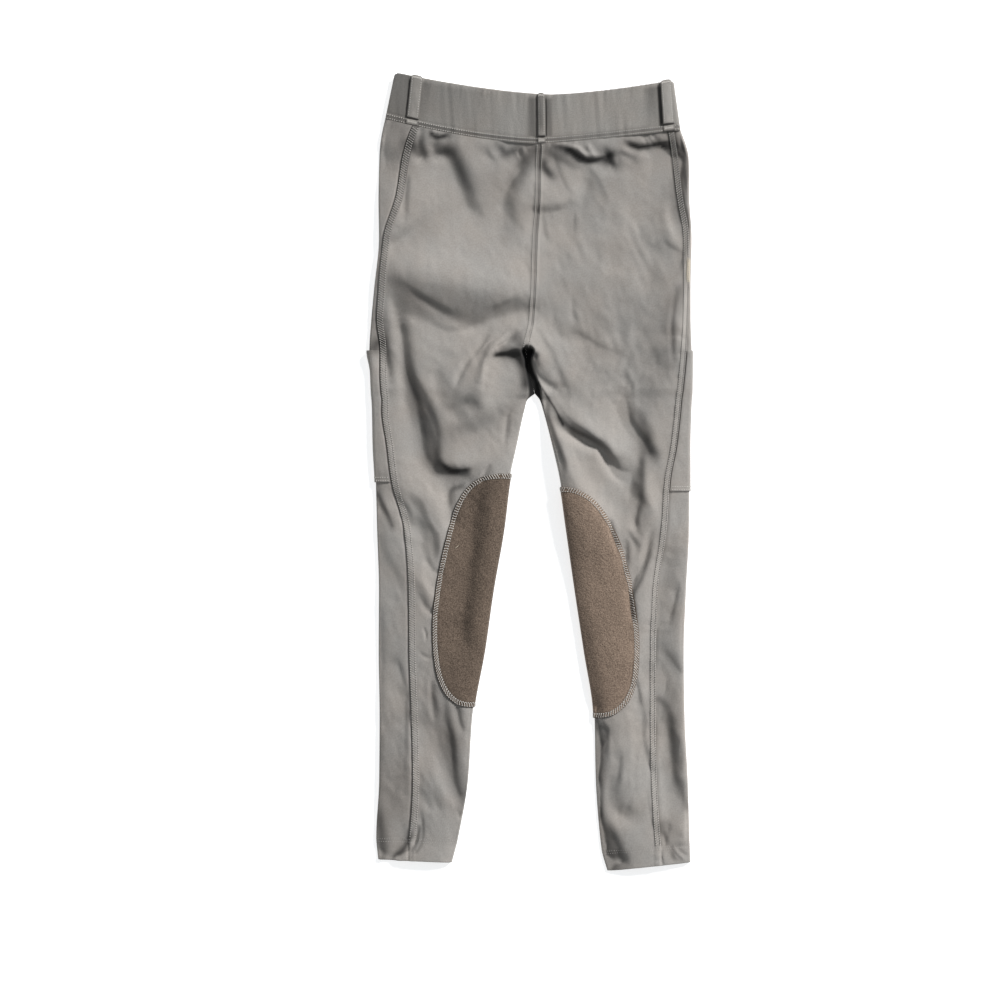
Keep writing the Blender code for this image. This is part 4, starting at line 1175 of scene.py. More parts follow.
def places_round(fold, first, under, top_count, under_count):
    """Places from the first one on top, round the fold, to so far on the underside."""
    top = first * (1.0 - np.linspace(0.0, 1.0, top_count))
    turn = fold.turn * np.linspace(0.0, 1.0, FOLD_COLUMNS)[1:]
    return np.concatenate([top, turn, fold.turn + under * np.linspace(0.0, 1.0, under_count)[1:]], axis=1)


def back_panel(side):
    station = station_rows(WAIST_Y, HEM_Y, *ROW_STEPS)
    inner = edge_fold(side, "inner", station)
    seam_x = EDGE["seam_" + side](station) + inwards_from(side, "outer") * SEAM_GAP / 2.0
    start = -np.abs(seam_x - inner.bend_x)
    last = inseam_places(station, inner.turn)[0]
    share = 1.0 - (1.0 - np.linspace(0.0, 1.0, BACK_COLUMNS)) ** 1.25
    places = start + (last - start) * share
    return leg_point(side, "inner", station, places), inwards_from(side, "inner")


def side_panel(side):
    station = station_rows(WAIST_Y, HEM_Y, ROW_STEPS[0])
    fold = edge_fold(side, "outer", station)
    places = places_round(fold, seam_place(side, station) + SEAM_GAP / 2.0, SIDE_UNDER, 22, UNDER_COLUMNS)
    return leg_point(side, "outer", station, places), inwards_from(side, "outer")


def front_panel(side):
    station = station_rows(WAIST_Y, HEM_Y, *UNDER_STEPS)
    inner = edge_fold(side, "inner", station)
    outer = edge_fold(side, "outer", station)
    last = inseam_places(station, inner.turn)[1]
    width = np.abs(outer.bend_x - inner.bend_x) - SIDE_UNDER - SEAM_GAP
    share = np.linspace(0.0, 1.0, FRONT_COLUMNS) ** 1.3
    places = last + (inner.turn + width - last) * share
    return leg_point(side, "inner", station, places), inwards_from(side, "inner")


panels = {}
for side in SIDES:
    points, facing = back_panel(side)
    points = turned_all(points, PANEL_TURN, facing, ["first_column"])
    panels["back", side] = cloth_sheet(
        "back_panel", side, points, facing, CLOTH, stretch_cloth, painted_shade=painted_shade_at(side, points))
    points, facing = side_panel(side)
    panels["side", side] = cloth_sheet(
        "side_panel", side, points, facing, CLOTH, stretch_cloth, painted_shade=fold_shade(points))
    points, facing = front_panel(side)
    panels["front", side] = cloth_sheet("front_panel", side, points, facing, CLOTH, stretch_cloth)

# %% [markdown]
# ## Thigh pockets
# A flat phone pocket is sewn on each side panel. It is the same tube of cloth moved out by its own
# thickness. The left pocket's mouth has sagged open a few millimetres at the edge of the leg.

# %% Thigh pockets
POCKET_INSET = 1.5                  # from the side seam to the pocket's edge
MOUTH_GAPE = {"left": 3.0, "right": 0.3}
GAPE_DEPTH = 26.0                   # how far down the pocket the mouth stands open


def thigh_pocket(side):
    station = station_rows(POCKET_MOUTH, POCKET_BOTTOM[side], ROW_STEPS[0])
    fold = edge_fold(side, "outer", station)
    start = seam_place(side, station) + POCKET_INSET
    places = places_round(fold, start, SIDE_UNDER - POCKET_INSET, 10, UNDER_COLUMNS)
    open_share = smooth_step(1.0 - (POCKET_MOUTH - station) / GAPE_DEPTH)
    round_share = smooth_step((places - start) / 8.0) * smooth_step((fold.turn - 2.0 - places) / 4.0)
    stand_off = SEAM_GAP + CLOTH + MOUTH_GAPE[side] * open_share * round_share
    return moved_out(side, "outer", station, places, stand_off), inwards_from(side, "outer")


pockets = {}
for side in SIDES:
    points, facing = thigh_pocket(side)
    points = turned_all(points, PANEL_TURN, facing, ["first_row", "last_row"])
    pockets[side] = cloth_sheet(
        "thigh_pocket", side, points, facing, CLOTH, stretch_cloth, painted_shade=fold_shade(points))

# %% [markdown]
# ## Suede knee patches
# Each patch is a long rounded shape that wraps the inner knee, as far over the leg as under it.
# The shape is a superellipse: like an ellipse, with a power that makes its ends rounder or
# squarer. The patch lies a third of a millimetre off the leg.

# %% Knee patches
PATCH_END = 0.003                   # keeps the very ends of a patch from closing to a point
PATCH_BORDER = 5.0                  # width of the stitched border
SUEDE_TURN = 0.6                    # radius of its edge


def patch_reach(side, station):
    """How far a patch reaches from the top of the inner fold."""
    patch = PATCHES[side]
    from_middle = 1.0 - 2.0 * (patch.top - station) / (patch.top - patch.bottom)
    power = np.where(from_middle > 0.0, patch.top_power, patch.bottom_power)
    share = PATCH_END + (1.0 - PATCH_END) * (1.0 - np.abs(from_middle) ** power)
    return patch.half_width * share ** (1.0 / power)


def patch_stations(side, count):
    """Stations down a patch, closer together at its rounded ends."""
    even = np.linspace(0.0, 1.0, count)
    share = 0.3 * even + 0.7 * (0.5 - 0.5 * np.cos(math.pi * even))
    return PATCHES[side].top + (PATCHES[side].bottom - PATCHES[side].top) * share


def knee_patch(side):
    station = patch_stations(side, 141)[:, None]
    fold = edge_fold(side, "inner", station)
    reach = patch_reach(side, station)
    places = places_round(fold, -reach, reach, 30, 16)
    out = np.full(places.shape, SEAM_GAP + SUEDE)
    slant = np.hypot(1.0, np.gradient(reach[:, 0], station[:, 0]))[:, None]
    from_side = np.minimum(places + reach, fold.turn + reach - places) / slant
    from_end = np.minimum(PATCHES[side].top - station, station - PATCHES[side].bottom)
    # Painted shade along the patch's stitched border, darkest along its edges.
    shade = strip_shade(np.minimum(from_side, from_end) - PATCH_BORDER / 2.0, PATCH_BORDER / 2.0, 0.05, 0.4)
    return moved_out(side, "inner", station, places, out), inwards_from(side, "inner"), shade


patches = {}
for side in SIDES:
    points, facing, shade = knee_patch(side)
    points = turned_all(points, SUEDE_TURN, facing, ALL_EDGES)
    shade = darker(np.pad(shade, TURN_STEPS, mode="edge"), fold_shade(points))
    patches[side] = cloth_sheet(
        "knee_patch", side, points, facing, SUEDE, suede[side], "suede", painted_shade=shade)

# %% [markdown]
# ## Hem bands
# A double band of cloth closes each leg at the ankle. It is one ring: over the top, round the
# outer edge, back underneath and round the inner edge. Its lower edge is a fold.

# %% Hem bands
HEM_EDGE_Y = -432.0
HEM_CLOTH = 1.6                     # thickness of the doubled cloth
HEM_GAP = 0.06                      # between the band and the panels above it
HEM_TURN = 0.9                      # radius of its lower fold


def hem_band(side):
    share = np.linspace(0.0, 1.0, 17)[:, None]
    station = HEM_Y + (HEM_EDGE_Y - HEM_Y) * share
    outer = edge_fold(side, "outer", station)
    inner = edge_fold(side, "inner", station)
    width = np.abs(outer.bend_x - inner.bend_x)
    over = leg_point(side, "outer", station, -width * np.linspace(1.0, 0.0, 71))
    outer_turn = leg_point(side, "outer", station, outer.turn * np.linspace(0.0, 1.0, FOLD_COLUMNS)[1:])
    under = leg_point(side, "outer", station, outer.turn + width * np.linspace(0.0, 1.0, 25)[1:])
    inner_turn = leg_point(side, "inner", station, inner.turn * np.linspace(1.0, 0.0, FOLD_COLUMNS)[1:-1])
    points = np.concatenate([over, outer_turn, under, inner_turn], axis=1)
    x = points[..., 0]
    top = hem_y(side, x, False) - HEM_GAP
    points[..., 1] = top + (hem_y(side, x, True) - top) * share
    return points, inwards_from(side, "outer")


hems = {}
for side in SIDES:
    points, facing = hem_band(side)
    points = turned_all(points, HEM_TURN, facing, ["last_row"])
    hems[side] = cloth_sheet(
        "hem_band", side, points, facing, HEM_CLOTH, stretch_cloth, ring=True, painted_shade=fold_shade(points))

# %% [markdown]
# ## The waistband
# Wide elastic is sewn inside two layers of cloth. Relaxed, it pulls the cloth into soft upright
# gathers. The back half of the band is crowned: it slopes down to both ends, where it folds round
# to the front half. Along its lower edge runs the flat strip of the waist seam.

# %% Waistband
BAND_CLOTH = 1.8
BAND_HEIGHT = 7.6
BAND_LIFT = 1.8                     # the band lies on its two front loops
BAND_END_RADIUS = 3.5
BAND_TURN = 1.2                     # radius of its folded top edge
BAND_CORNER = 3.5                   # radius of its two top corners, seen from above
BAND_WIDTH = 53.0                   # from the waist seam to its top edge
STRIP_WIDTH = 6.8                   # the stitched strip along the waist seam
STRIP_RISE = 0.35
STRIP_GROOVE = 0.45                 # depth of the groove above the strip
BAND_CROWN = 2.0                    # how far the band is puffed up in the middle
BAND_DROP = 1.5                     # how far that falls at BAND_HALF from the middle
BAND_HALF = 160.0
LEFT_DROP = (4.0, -10.0, 140.0)     # a further fall to the left: how far, from which x, how long
RIGHT_DROP = (2.0, 138.0, 26.0)     # and to the right
BAND_GATHER = (0.42, 5.0, 60.0)     # height, width and length of the elastic's gathers
BAND_LINES = (0.22, 2.6, 30.0)      # and of finer ones, which fade in the band's middle


def corner_inset(radius, from_top):
    """How far a round corner draws an edge in, at a distance below the corner's top."""
    share = np.clip(1.0 - from_top / radius, 0.0, 0.97)
    return radius * (1.0 - np.sqrt(1.0 - share ** 2))


def band_top_height(x, above_seam):
    """Height of the band's outside above its middle plane."""
    left_drop, left_start, left_length = LEFT_DROP
    right_drop, right_start, right_length = RIGHT_DROP
    crown = -BAND_DROP * (x / BAND_HALF) ** 2 - left_drop * smooth_step((left_start - x) / left_length)
    right_slope = -right_drop * smooth_step((x - right_start) / right_length)
    upright = soft_noise(x + 0.08 * above_seam, above_seam, *BAND_GATHER[1:], SEED["band_gathers"])
    fine = soft_noise(x - 0.1 * above_seam, above_seam, *BAND_LINES[1:], SEED["band_lines"])
    gathers = BAND_GATHER[0] * upright + BAND_LINES[0] * fine * np.abs(above_seam / 26.0 - 1.0)
    strip = STRIP_RISE * smooth_step((STRIP_WIDTH - above_seam) / 0.8)
    groove = -STRIP_GROOVE * bell(above_seam - STRIP_WIDTH - 0.5, 0.8)
    return BAND_HEIGHT / 2.0 + BAND_CROWN + crown + right_slope + gathers + strip + groove


def band_points(share, upper, count):
    """A grid of points of one half of the waistband, from its seam to its top edge."""
    left = BAND_SPAN[0] + (BAND_TOP_SPAN[0] - BAND_SPAN[0]) * share
    right = BAND_SPAN[1] + (BAND_TOP_SPAN[1] - BAND_SPAN[1]) * share
    corner = corner_inset(BAND_CORNER, (1.0 - share) * BAND_WIDTH)
    left = left + corner
    right = right - corner
    angle = np.linspace(0.06, 0.5 * math.pi, 7)
    inset = BAND_END_RADIUS * (1.0 - np.cos(angle))
    middle = np.linspace(0.0, 1.0, count)[1:-1]
    first = left + BAND_END_RADIUS
    x = np.concatenate([
        left + inset, first + (right - BAND_END_RADIUS - first) * middle, right - inset[::-1]], axis=1)
    from_end = np.minimum(x - left, right - x)
    rounding = np.sqrt(1.0 - (1.0 - np.clip(from_end / BAND_END_RADIUS, 0.0, 1.0)) ** 2)
    low = waist_seam_y(x) + SEAM_GAP
    y = low + (band_top_y(x) - BAND_TURN - low) * share
    half = band_top_height(x, y - low) if upper else BAND_HEIGHT / 2.0
    z = BAND_LIFT + BAND_HEIGHT / 2.0 + (half if upper else -half) * rounding
    return joined(x, y, z)


def band_surface(x, above_seam):
    """A point of the back half's outside, for the stitches and the loops."""
    y = waist_seam_y(x) + SEAM_GAP + above_seam
    z = BAND_LIFT + BAND_HEIGHT / 2.0 + band_top_height(x, above_seam)
    return joined(x, y, z)


# Painted shadow beside the loops, and one broad painted shade on the band's left: its middle, its
# half width and how dark it is, from the seam to the top.
PaintedBandShade = namedtuple("PaintedBandShade", "x_low x_high half_width dark_low dark_high")
PAINTED_BAND_SHADES = [PaintedBandShade(*row) for row in (
    (-100.0, -100.0, 62.0, 0.13, 0.26),
    (-135.8, -129.8, 1.0, 0.8, 0.8),
    (-122.0, -117.0, 13.0, 0.22, 0.5),
    (8.8, 8.6, 1.6, 0.6, 0.6),
    (4.0, 3.5, 5.5, 0.48, 0.5),
    (19.8, 19.2, 1.2, 0.9, 0.9),
    (22.8, 22.3, 4.0, 0.42, 0.5),
    (146.2, 143.2, 3.0, 0.8, 0.72),
    (139.0, 136.0, 9.0, 0.08, 0.52),
)]
# Painted shade on the band's left end.
BAND_END_SHADE = 0.44               # the band's left end lies in its own shade


def band_painted_shade(points):
    """Painted shade stored on the band: along its seam strip, at its left end and beside its loops."""
    x = points[..., 0]
    share = (points[..., 1] - waist_seam_y(x)) / (band_top_y(x) - waist_seam_y(x))
    from_strip = points[..., 1] - waist_seam_y(x) - STRIP_WIDTH / 2.0
    groove = strip_shade(from_strip, 1.0, 0.55 - 0.15 * smooth_step((x + 20.0) / 80.0), 0.0)
    shade = np.maximum(groove, strip_shade(from_strip, STRIP_WIDTH / 2.0, 0.1))
    shade = np.maximum(shade, BAND_END_SHADE * smooth_step((-131.0 + 6.0 * share - x) / 7.0))
    for shadow_row in PAINTED_BAND_SHADES:
        off = (x - shadow_row.x_low - (shadow_row.x_high - shadow_row.x_low) * share) / shadow_row.half_width
        ends = smooth_step((share - 0.08) / 0.1) * smooth_step((0.97 - share) / 0.1)
        dark = shadow_row.dark_low + (shadow_row.dark_high - shadow_row.dark_low) * share
        shade = np.maximum(shade, dark * ends * np.exp(-np.abs(off) ** 3))
    return shade


rows = np.linspace(0.0, 1.0, 40)[:, None]
points = turned_all(band_points(rows, True, 330), BAND_TURN, 1.0, ["last_row"])
points = turned_all(points, 0.6, 1.0, ["first_row"])
shade = band_painted_shade(points)
band_back = cloth_sheet("waistband", "back", points, 1.0, BAND_CLOTH, band_cloth, painted_shade=shade)
points = turned_all(band_points(rows[::3], False, 90), BAND_TURN, -1.0, ["last_row"])
band_front = cloth_sheet("waistband", "front", points, -1.0, BAND_CLOTH, band_cloth)

# %% [markdown]
# ## Belt loops
# A belt loop is a narrow strip folded to width. Its lower end is caught in the waist seam and its
# top end is turned in and tacked just under the band's edge, so it stands a few millimetres off
# the band in between, where a belt would pass. Each is a small sheet that follows the band's own
# surface. The middle one has rolled up along its right edge.

# %% Belt loops on the back
LOOP_CLOTH = 1.3
LOOP_EDGE = 0.6                     # radius of a loop's folded long edges
LOOP_TOP_GAP = -0.4                 # the loop's top end stands a little over the band's top edge
LOOP_CORNER = 2.2                   # radius of a loop's two top corners
LOOP_PUFF = 0.9                     # how much thicker a folded loop is along its middle
TAB_HEIGHT = 1.0                    # the loop's tucked end, over the stitched strip
LOOP_START = STRIP_WIDTH + 0.2      # where the loop folds up out of the strip

# A loop: its middle at the seam and at the top, width, rise, tilt, and dark, how much painted shade darkens
# it.
Loop = namedtuple("Loop", "x_low x_high width rise tilt dark")
LOOPS = {
    "left": Loop(-128.2, -122.2, 13.2, 1.6, -0.3, 0.12),
    "centre": Loop(14.3, 13.8, 8.8, 2.2, 0.7, 0.36),
    "right": Loop(154.4, 150.6, 12.6, 2.4, -0.5, 0.0),
}


def loop_points(loop, across, share):
    """Points of a loop's outside. across runs from -1 to 1, share from the seam to the top."""
    middle = loop.x_low + (loop.x_high - loop.x_low) * share
    full = band_top_y(middle) - waist_seam_y(middle) - LOOP_TOP_GAP
    corner = corner_inset(LOOP_CORNER, (1.0 - share) * full)
    x = middle + across * (loop.width / 2.0 - LOOP_EDGE - corner)
    full = band_top_y(x) - waist_seam_y(x) - LOOP_TOP_GAP
    above = 0.5 + (full - 0.5) * share
    tab = TAB_HEIGHT * smooth_step((LOOP_START - 0.7 - above) / 0.6)
    stand = (loop.rise + loop.tilt * across) * smooth_step((above - LOOP_START) / 1.0)
    stand = stand * (0.45 + 0.55 * smooth_step((full - above) / 3.5))
    wave = 0.2 * soft_noise(x, above, 4.0, 7.0, SEED["back_loops"])
    puff = LOOP_PUFF * (1.0 - np.abs(across) ** 2.5) * smooth_step((above - LOOP_START) / 2.0)
    points = band_surface(x, above)
    points[..., 2] += 0.2 + tab + stand + wave + puff
    return points


def loop_shade(loop, across, share):
    """Painted shade stored on a loop: along both long edges, at its top, where it folds up and at the seam.
    """
    from_edge = (1.0 - np.abs(across)) * loop.width / 2.0
    edges = 0.34 * bell(from_edge, 1.0)
    length = BAND_WIDTH * share
    fold = 0.75 * bell(length - LOOP_START, 0.9)
    seam = 0.7 * bell(length - 0.3, 0.8)
    top = 0.3 * bell(length - 52.6, 1.0)
    edges = np.maximum(edges, loop.dark * smooth_step((share - 0.1) / 0.3))
    return np.maximum(np.maximum(edges, fold), np.maximum(seam, top))


loop_share = np.concatenate([np.linspace(0.0, 0.16, 14), np.linspace(0.16, 1.0, 34)[1:]])[:, None]
loops = {}
loop_across = np.linspace(-1.0, 1.0, 15)
for name, loop in LOOPS.items():
    points = loop_points(loop, loop_across, loop_share)
    points = turned_all(points, LOOP_EDGE, 1.0, ALL_EDGES)
    shade = np.pad(loop_shade(loop, loop_across, loop_share), TURN_STEPS, mode="edge")
    loops[name] = cloth_sheet("belt_loop", name, points, 1.0, LOOP_CLOTH, band_cloth, painted_shade=shade)

# %% [markdown]
# The two plain loops at the front lie pressed flat under the waistband, as a belt needs them there.
# Their outside faces down, and the garment rests on them.

# %% Belt loops on the front
FRONT_LOOPS = {"front_left": (-72.0, -69.0), "front_right": (92.0, 88.0)}
FRONT_LOOP_WIDTH = 12.5
FRONT_LOOP_MARGIN = 3.0             # from a front loop's ends to the band's edges

for name, (x_low, x_high) in FRONT_LOOPS.items():
    share = np.linspace(0.0, 1.0, 24)[:, None]
    across = np.linspace(-1.0, 1.0, 7) * (FRONT_LOOP_WIDTH / 2.0 - LOOP_EDGE)
    x = x_low + (x_high - x_low) * share + across
    low = waist_seam_y(x) + FRONT_LOOP_MARGIN
    y = low + (band_top_y(x) - FRONT_LOOP_MARGIN - low) * share
    z = 0.04 + 0.06 * (1.0 + soft_noise(x, y, 5.0, 9.0, SEED["front_loops"]))
    points = joined(x, y, z)
    points = turned_all(points, LOOP_EDGE, -1.0, ALL_EDGES)
    loops[name] = cloth_sheet("belt_loop", name, points, -1.0, LOOP_CLOTH, band_cloth)
print("all loops:", list(loops))

# %% [markdown]
# ## Stitches
# The seams are coverstitched: two rows of needle thread, with a looping thread that crosses
# between them. Every stitch is the same small bead of thread, so one is modelled, from a coarse
# sphere that is drawn out along its axis. Copies of its points are then placed along the seams
# and joined into one mesh for each seam, because thousands of objects would be slow.

# %% One stitch
bpy.ops.object.select_all(action="DESELECT")
bpy.ops.mesh.primitive_uv_sphere_add(segments=5, ring_count=3, radius=0.5)
one_stitch = bpy.context.active_object
bpy.ops.object.mode_set(mode="EDIT")
bpy.ops.mesh.select_all(action="DESELECT")
stitch_mesh = bmesh.from_edit_mesh(one_stitch.data)
for corner in stitch_mesh.verts:
    corner.select_set(abs(corner.co.z) < 0.45)
bmesh.update_edit_mesh(one_stitch.data)
bpy.ops.transform.resize(value=(1.1, 1.1, 1.35))
bpy.ops.object.mode_set(mode="OBJECT")
STITCH_POINTS = np.array([corner.co for corner in one_stitch.data.vertices])
STITCH_FACES = [list(face.vertices) for face in one_stitch.data.polygons]
bpy.data.objects.remove(one_stitch)
print("one stitch has", len(STITCH_FACES), "faces")

# %% [markdown]
# A row of stitches needs a line on the cloth and the way out of the cloth along it. The line is
# divided evenly, and every stitch is turned along the line. Real stitches vary a little, so each
# is nudged and turned by a small random amount.

# %% Rows of stitches
PITCH = 2.6                         # 10 stitches to the inch
THREAD = 1.05                       # width of the thread
STITCH = 1.2                        # length of a stitch that shows
HOLE = (0.8, 0.85)                  # length and width of a needle hole
LOOPER = 0.42                       # width of the threads that cross between two rows
LOOPER_LIFT = 0.12                  # how far they stand above the rows
UNEVEN_TURN = 0.12                  # how far a stitch's direction and place may be off
UNEVEN_PLACE = 0.08

random = np.random.default_rng(7)
Line = namedtuple("Line", "points out")


def at_distances(reached, wanted, values):
    """Values of the points of a line, at other distances along it."""
    return np.stack([np.interp(wanted, reached, column) for column in values.T], axis=1)


def distances(points):
    """How far each point of a line lies along it."""
    return np.concatenate([[0.0], np.cumsum(np.linalg.norm(np.diff(points, axis=0), axis=1))])


def evenly(line, pitch, count=None):
    """The same line with its places a pitch apart, or with a given number of even places."""
    reached = distances(line.points)
    count = count or max(int(reached[-1] / pitch), 2)
    wanted = (np.arange(count) + 0.5) * reached[-1] / count
    return Line(at_distances(reached, wanted, line.points), unit(at_distances(reached, wanted, line.out)))


def needle_row(line, pitch=PITCH, length=STITCH, width=THREAD):
    """Stitches along a line: middle, direction, way out, length and width of each."""
    line = evenly(line, pitch)
    along = unit(np.gradient(line.points, axis=0) + random.normal(0.0, UNEVEN_TURN, line.points.shape))
    count = len(line.points)
    lengths = length * random.uniform(0.9, 1.1, count)
    return line.points, along, line.out, lengths, np.full(count, width)


def needle_holes(line, pitch=PITCH):
    """Painted shade of the holes between the stitches of a row, as flat dark beads of their own."""
    middles, along, out = needle_row(line, pitch)[:3]
    middles = (middles[:-1] + middles[1:]) / 2.0
    lengths, widths = (np.full(len(middles), size) for size in HOLE)
    return middles, along[:-1], out[:-1], lengths, widths


def cross_threads(first, second, pitch=PITCH, width=THREAD, slant=1):
    """Threads that cross from one row to the other and back."""
    first = evenly(first, pitch)
    second = evenly(second, pitch, len(first.points))
    count = len(first.points) - slant
    starts = first.points[:count]
    ends = second.points[slant:slant + count]
    out = unit(first.out[:count] + second.out[slant:slant + count])
    lengths = np.linalg.norm(ends - starts, axis=1)
    middles = (starts + ends) / 2.0 + out * LOOPER_LIFT
    middles = middles + random.normal(0.0, UNEVEN_PLACE, starts.shape)
    return middles, unit(ends - starts), out, lengths, np.full(count, width)


def sewn(name, parts, material):
    """All the stitches of a seam as one mesh."""
    middles, along, out, lengths, widths = (np.concatenate(column) for column in zip(*parts))
    aside = unit(np.cross(out, along))
    out = np.cross(along, aside)
    scaled = STITCH_POINTS[None]
    points = middles[:, None] + (
        aside[:, None] * scaled[..., 0:1] * widths[:, None, None]
        + out[:, None] * scaled[..., 1:2] * widths[:, None, None]
        + along[:, None] * scaled[..., 2:3] * lengths[:, None, None])
    points[..., 2] = np.maximum(points[..., 2], 0.0)
    starts = range(0, len(middles) * len(STITCH_POINTS), len(STITCH_POINTS))
    faces = [[start + corner for corner in face] for start in starts for face in STITCH_FACES]
    mesh = bpy.data.meshes.new(name)
    mesh.from_pydata((points.reshape(-1, 3) * MM).tolist(), [], faces)
    mesh.materials.append(material)
    mesh.shade_smooth()
    seam = add_object(name, mesh)
    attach(seam, "root")
    print(name, len(middles), "stitches")
    return seam


# %% [markdown]
# ## Sewing the legs
# The side seams carry two rows just inside the fold where the back panel laps over the side
# panel, and the centre-back seam has a row on each side of its groove. The threads that cross
# between the rows make the ladder that a coverstitch shows on its face.

# %% Leg seams
SIDE_ROWS = {"left": (1.2, 6.6), "right": (1.0, 5.6)}
CENTRE_ROW = 2.8
CENTRE_END = 136.0


def leg_line(side, edge, station, place, stand_off=0.25):
    return Line(
        moved_out(side, edge, station, place, np.full(station.shape, stand_off)),
        leg_normal(side, edge, station, place))


def sew_seam(key, name, rows, crossing):
    """Two rows of stitches, painted shade at their needle holes, and the threads that cross between them.
    """
    stitches = [needle_row(row) for row in rows]
    if crossing:
        stitches.append(cross_threads(*rows, width=LOOPER))
    sewn(name + "_stitches", stitches, thread)
    holes = [needle_holes(row) for row in rows]
    sewn(name + "_needle_holes", holes, needle_hole)
    key + "_holes"


for side in SIDES:
    station = np.linspace(WAIST_Y - 0.8, HEM_Y + 0.5, 600)
    fold_place = seam_place(side, station)
    rows = [leg_line(side, "outer", station, fold_place - distance) for distance in SIDE_ROWS[side]]
    sew_seam("side_" + side, "side_seam_" + side, rows, True)
station = np.linspace(WAIST_Y - 0.8, CENTRE_END, 300)
place = np.full(station.shape, -CENTRE_ROW)
sew_seam("centre", "centre_seam", [leg_line(side, "inner", station, place) for side in SIDES], False)

# %% [markdown]
# The pockets are stitched along their bottom edge, and the hem bands along their top edge, right
# round the leg.

# %% Pocket and hem stitches
POCKET_ROWS = (1.2, 4.8)
HEM_ROWS = (1, 3)                   # rows of the hem band's own grid
HEM_THREAD = 0.7
ON_POCKET = SEAM_GAP + CLOTH + 0.1  # how far these threads lie outside the leg

for side in SIDES:
    rows = []
    for distance in POCKET_ROWS:
        level = np.array(POCKET_BOTTOM[side] + distance)
        first = seam_place(side, level) + POCKET_INSET + 0.8
        place = np.linspace(first, edge_fold(side, "outer", level).turn + SIDE_UNDER - 3.0, 120)
        line = leg_line(side, "outer", np.full(place.shape, level), place, ON_POCKET)
        rows.append(needle_row(line))
    sewn("pocket_stitches_" + side, rows, thread)
    "pocket_" + side
    points, facing = hem_band(side)
    out = grid_normals(points) * facing
    rows = [needle_row(Line(points[row], out[row]), width=HEM_THREAD) for row in HEM_ROWS]
    sewn("hem_stitches_" + side, rows, matching_thread)
    "hem_" + side

# %% [markdown]
# A border of pale thread runs round each knee patch, dense enough to hide the raw edge of the
# suede. Its two rows follow the patch's outline, moved inwards.

# %% Patch borders
BORDER_ROWS = (0.6, 4.4)
BORDER_PITCH = 2.9
BORDER_STITCH = (2.0, 0.9)          # length and width of a stitch
BORDER_CROSS = 0.8                  # width of the crossing threads
ON_PATCH = SEAM_GAP + SUEDE         # the outside of a patch, measured from the leg


def patch_outline(side, inset):
    """The patch's outline moved inwards, as places and stations round the inner fold."""
    patch = PATCHES[side]
    station = patch_stations(side, 160)
    reach = patch_reach(side, station)
    turn = edge_fold(side, "inner", station).turn
    top_end = np.linspace(0.0, 1.0, 20)[1:-1]
    place = np.concatenate([
        -reach[0] + (turn[0] + 2.0 * reach[0]) * top_end,
        turn + reach,
        turn[-1] + reach[-1] - (turn[-1] + 2.0 * reach[-1]) * top_end,
        -reach[::-1]])
    station = np.concatenate([
        np.full(len(top_end), patch.top), station, np.full(len(top_end), patch.bottom), station[::-1]])
    outline = np.stack([np.append(place, place[0]), np.append(station, station[0])], axis=1)
    reached = distances(outline)
    even = at_distances(reached, np.linspace(0.0, reached[-1], 900, endpoint=False), outline)
    for _ in range(6):
        even = (np.roll(even, 1, axis=0) + 2.0 * even + np.roll(even, -1, axis=0)) / 4.0
    ahead = unit(np.roll(even, -1, axis=0) - np.roll(even, 1, axis=0))
    inwards = np.stack([ahead[:, 1], -ahead[:, 0]], axis=1)
    return even + inwards * inset


for side in SIDES:
    border = []
    for inset in BORDER_ROWS:
        outline = patch_outline(side, inset)
        outline = np.concatenate([outline, outline[:1]])
        border.append(leg_line(side, "inner", outline[:, 1], outline[:, 0], ON_PATCH + 0.1))
    sewn(
        "patch_border_stitches_" + side,
        [needle_row(row, BORDER_PITCH, *BORDER_STITCH) for row in border]
        + [cross_threads(*border, pitch=BORDER_PITCH, width=BORDER_CROSS)],
        thread)
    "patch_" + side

# %% [markdown]
# ## Sewing the waist
# The waist seam shows a narrow strip with a row of stitches along each side of it. The loops are
# stitched along both long edges and held by bar tacks: short dense rows of thread across both ends.

# %% Waist stitches
WAIST_ROWS = (1.3, 5.4)
TACK_PITCH = 0.9
TACK_STITCH = (2.4, 0.6)            # length and width of a thread of a bar tack
TACK_SHARES = (0.05, 0.955)         # where the two bar tacks lie, from the seam to the loop's top
LOOP_STITCH = (1.6, 0.65)
LOOP_INSET = 1.3                    # from a loop's long edge to its stitches


def band_line(x, above_seam):
    across = band_surface(x + PROBE, above_seam) - band_surface(x - PROBE, above_seam)
    upwards = band_surface(x, above_seam + PROBE) - band_surface(x, above_seam - PROBE)
    return Line(band_surface(x, above_seam), unit(np.cross(across, upwards)))


def loop_line(loop, across, share):
    points = loop_points(loop, across, share)
    aside = loop_points(loop, across + 0.1, share) - loop_points(loop, across - 0.1, share)
    upwards = loop_points(loop, across, share + 0.01) - loop_points(loop, across, share - 0.01)
    return Line(points, unit(np.cross(aside, upwards)))


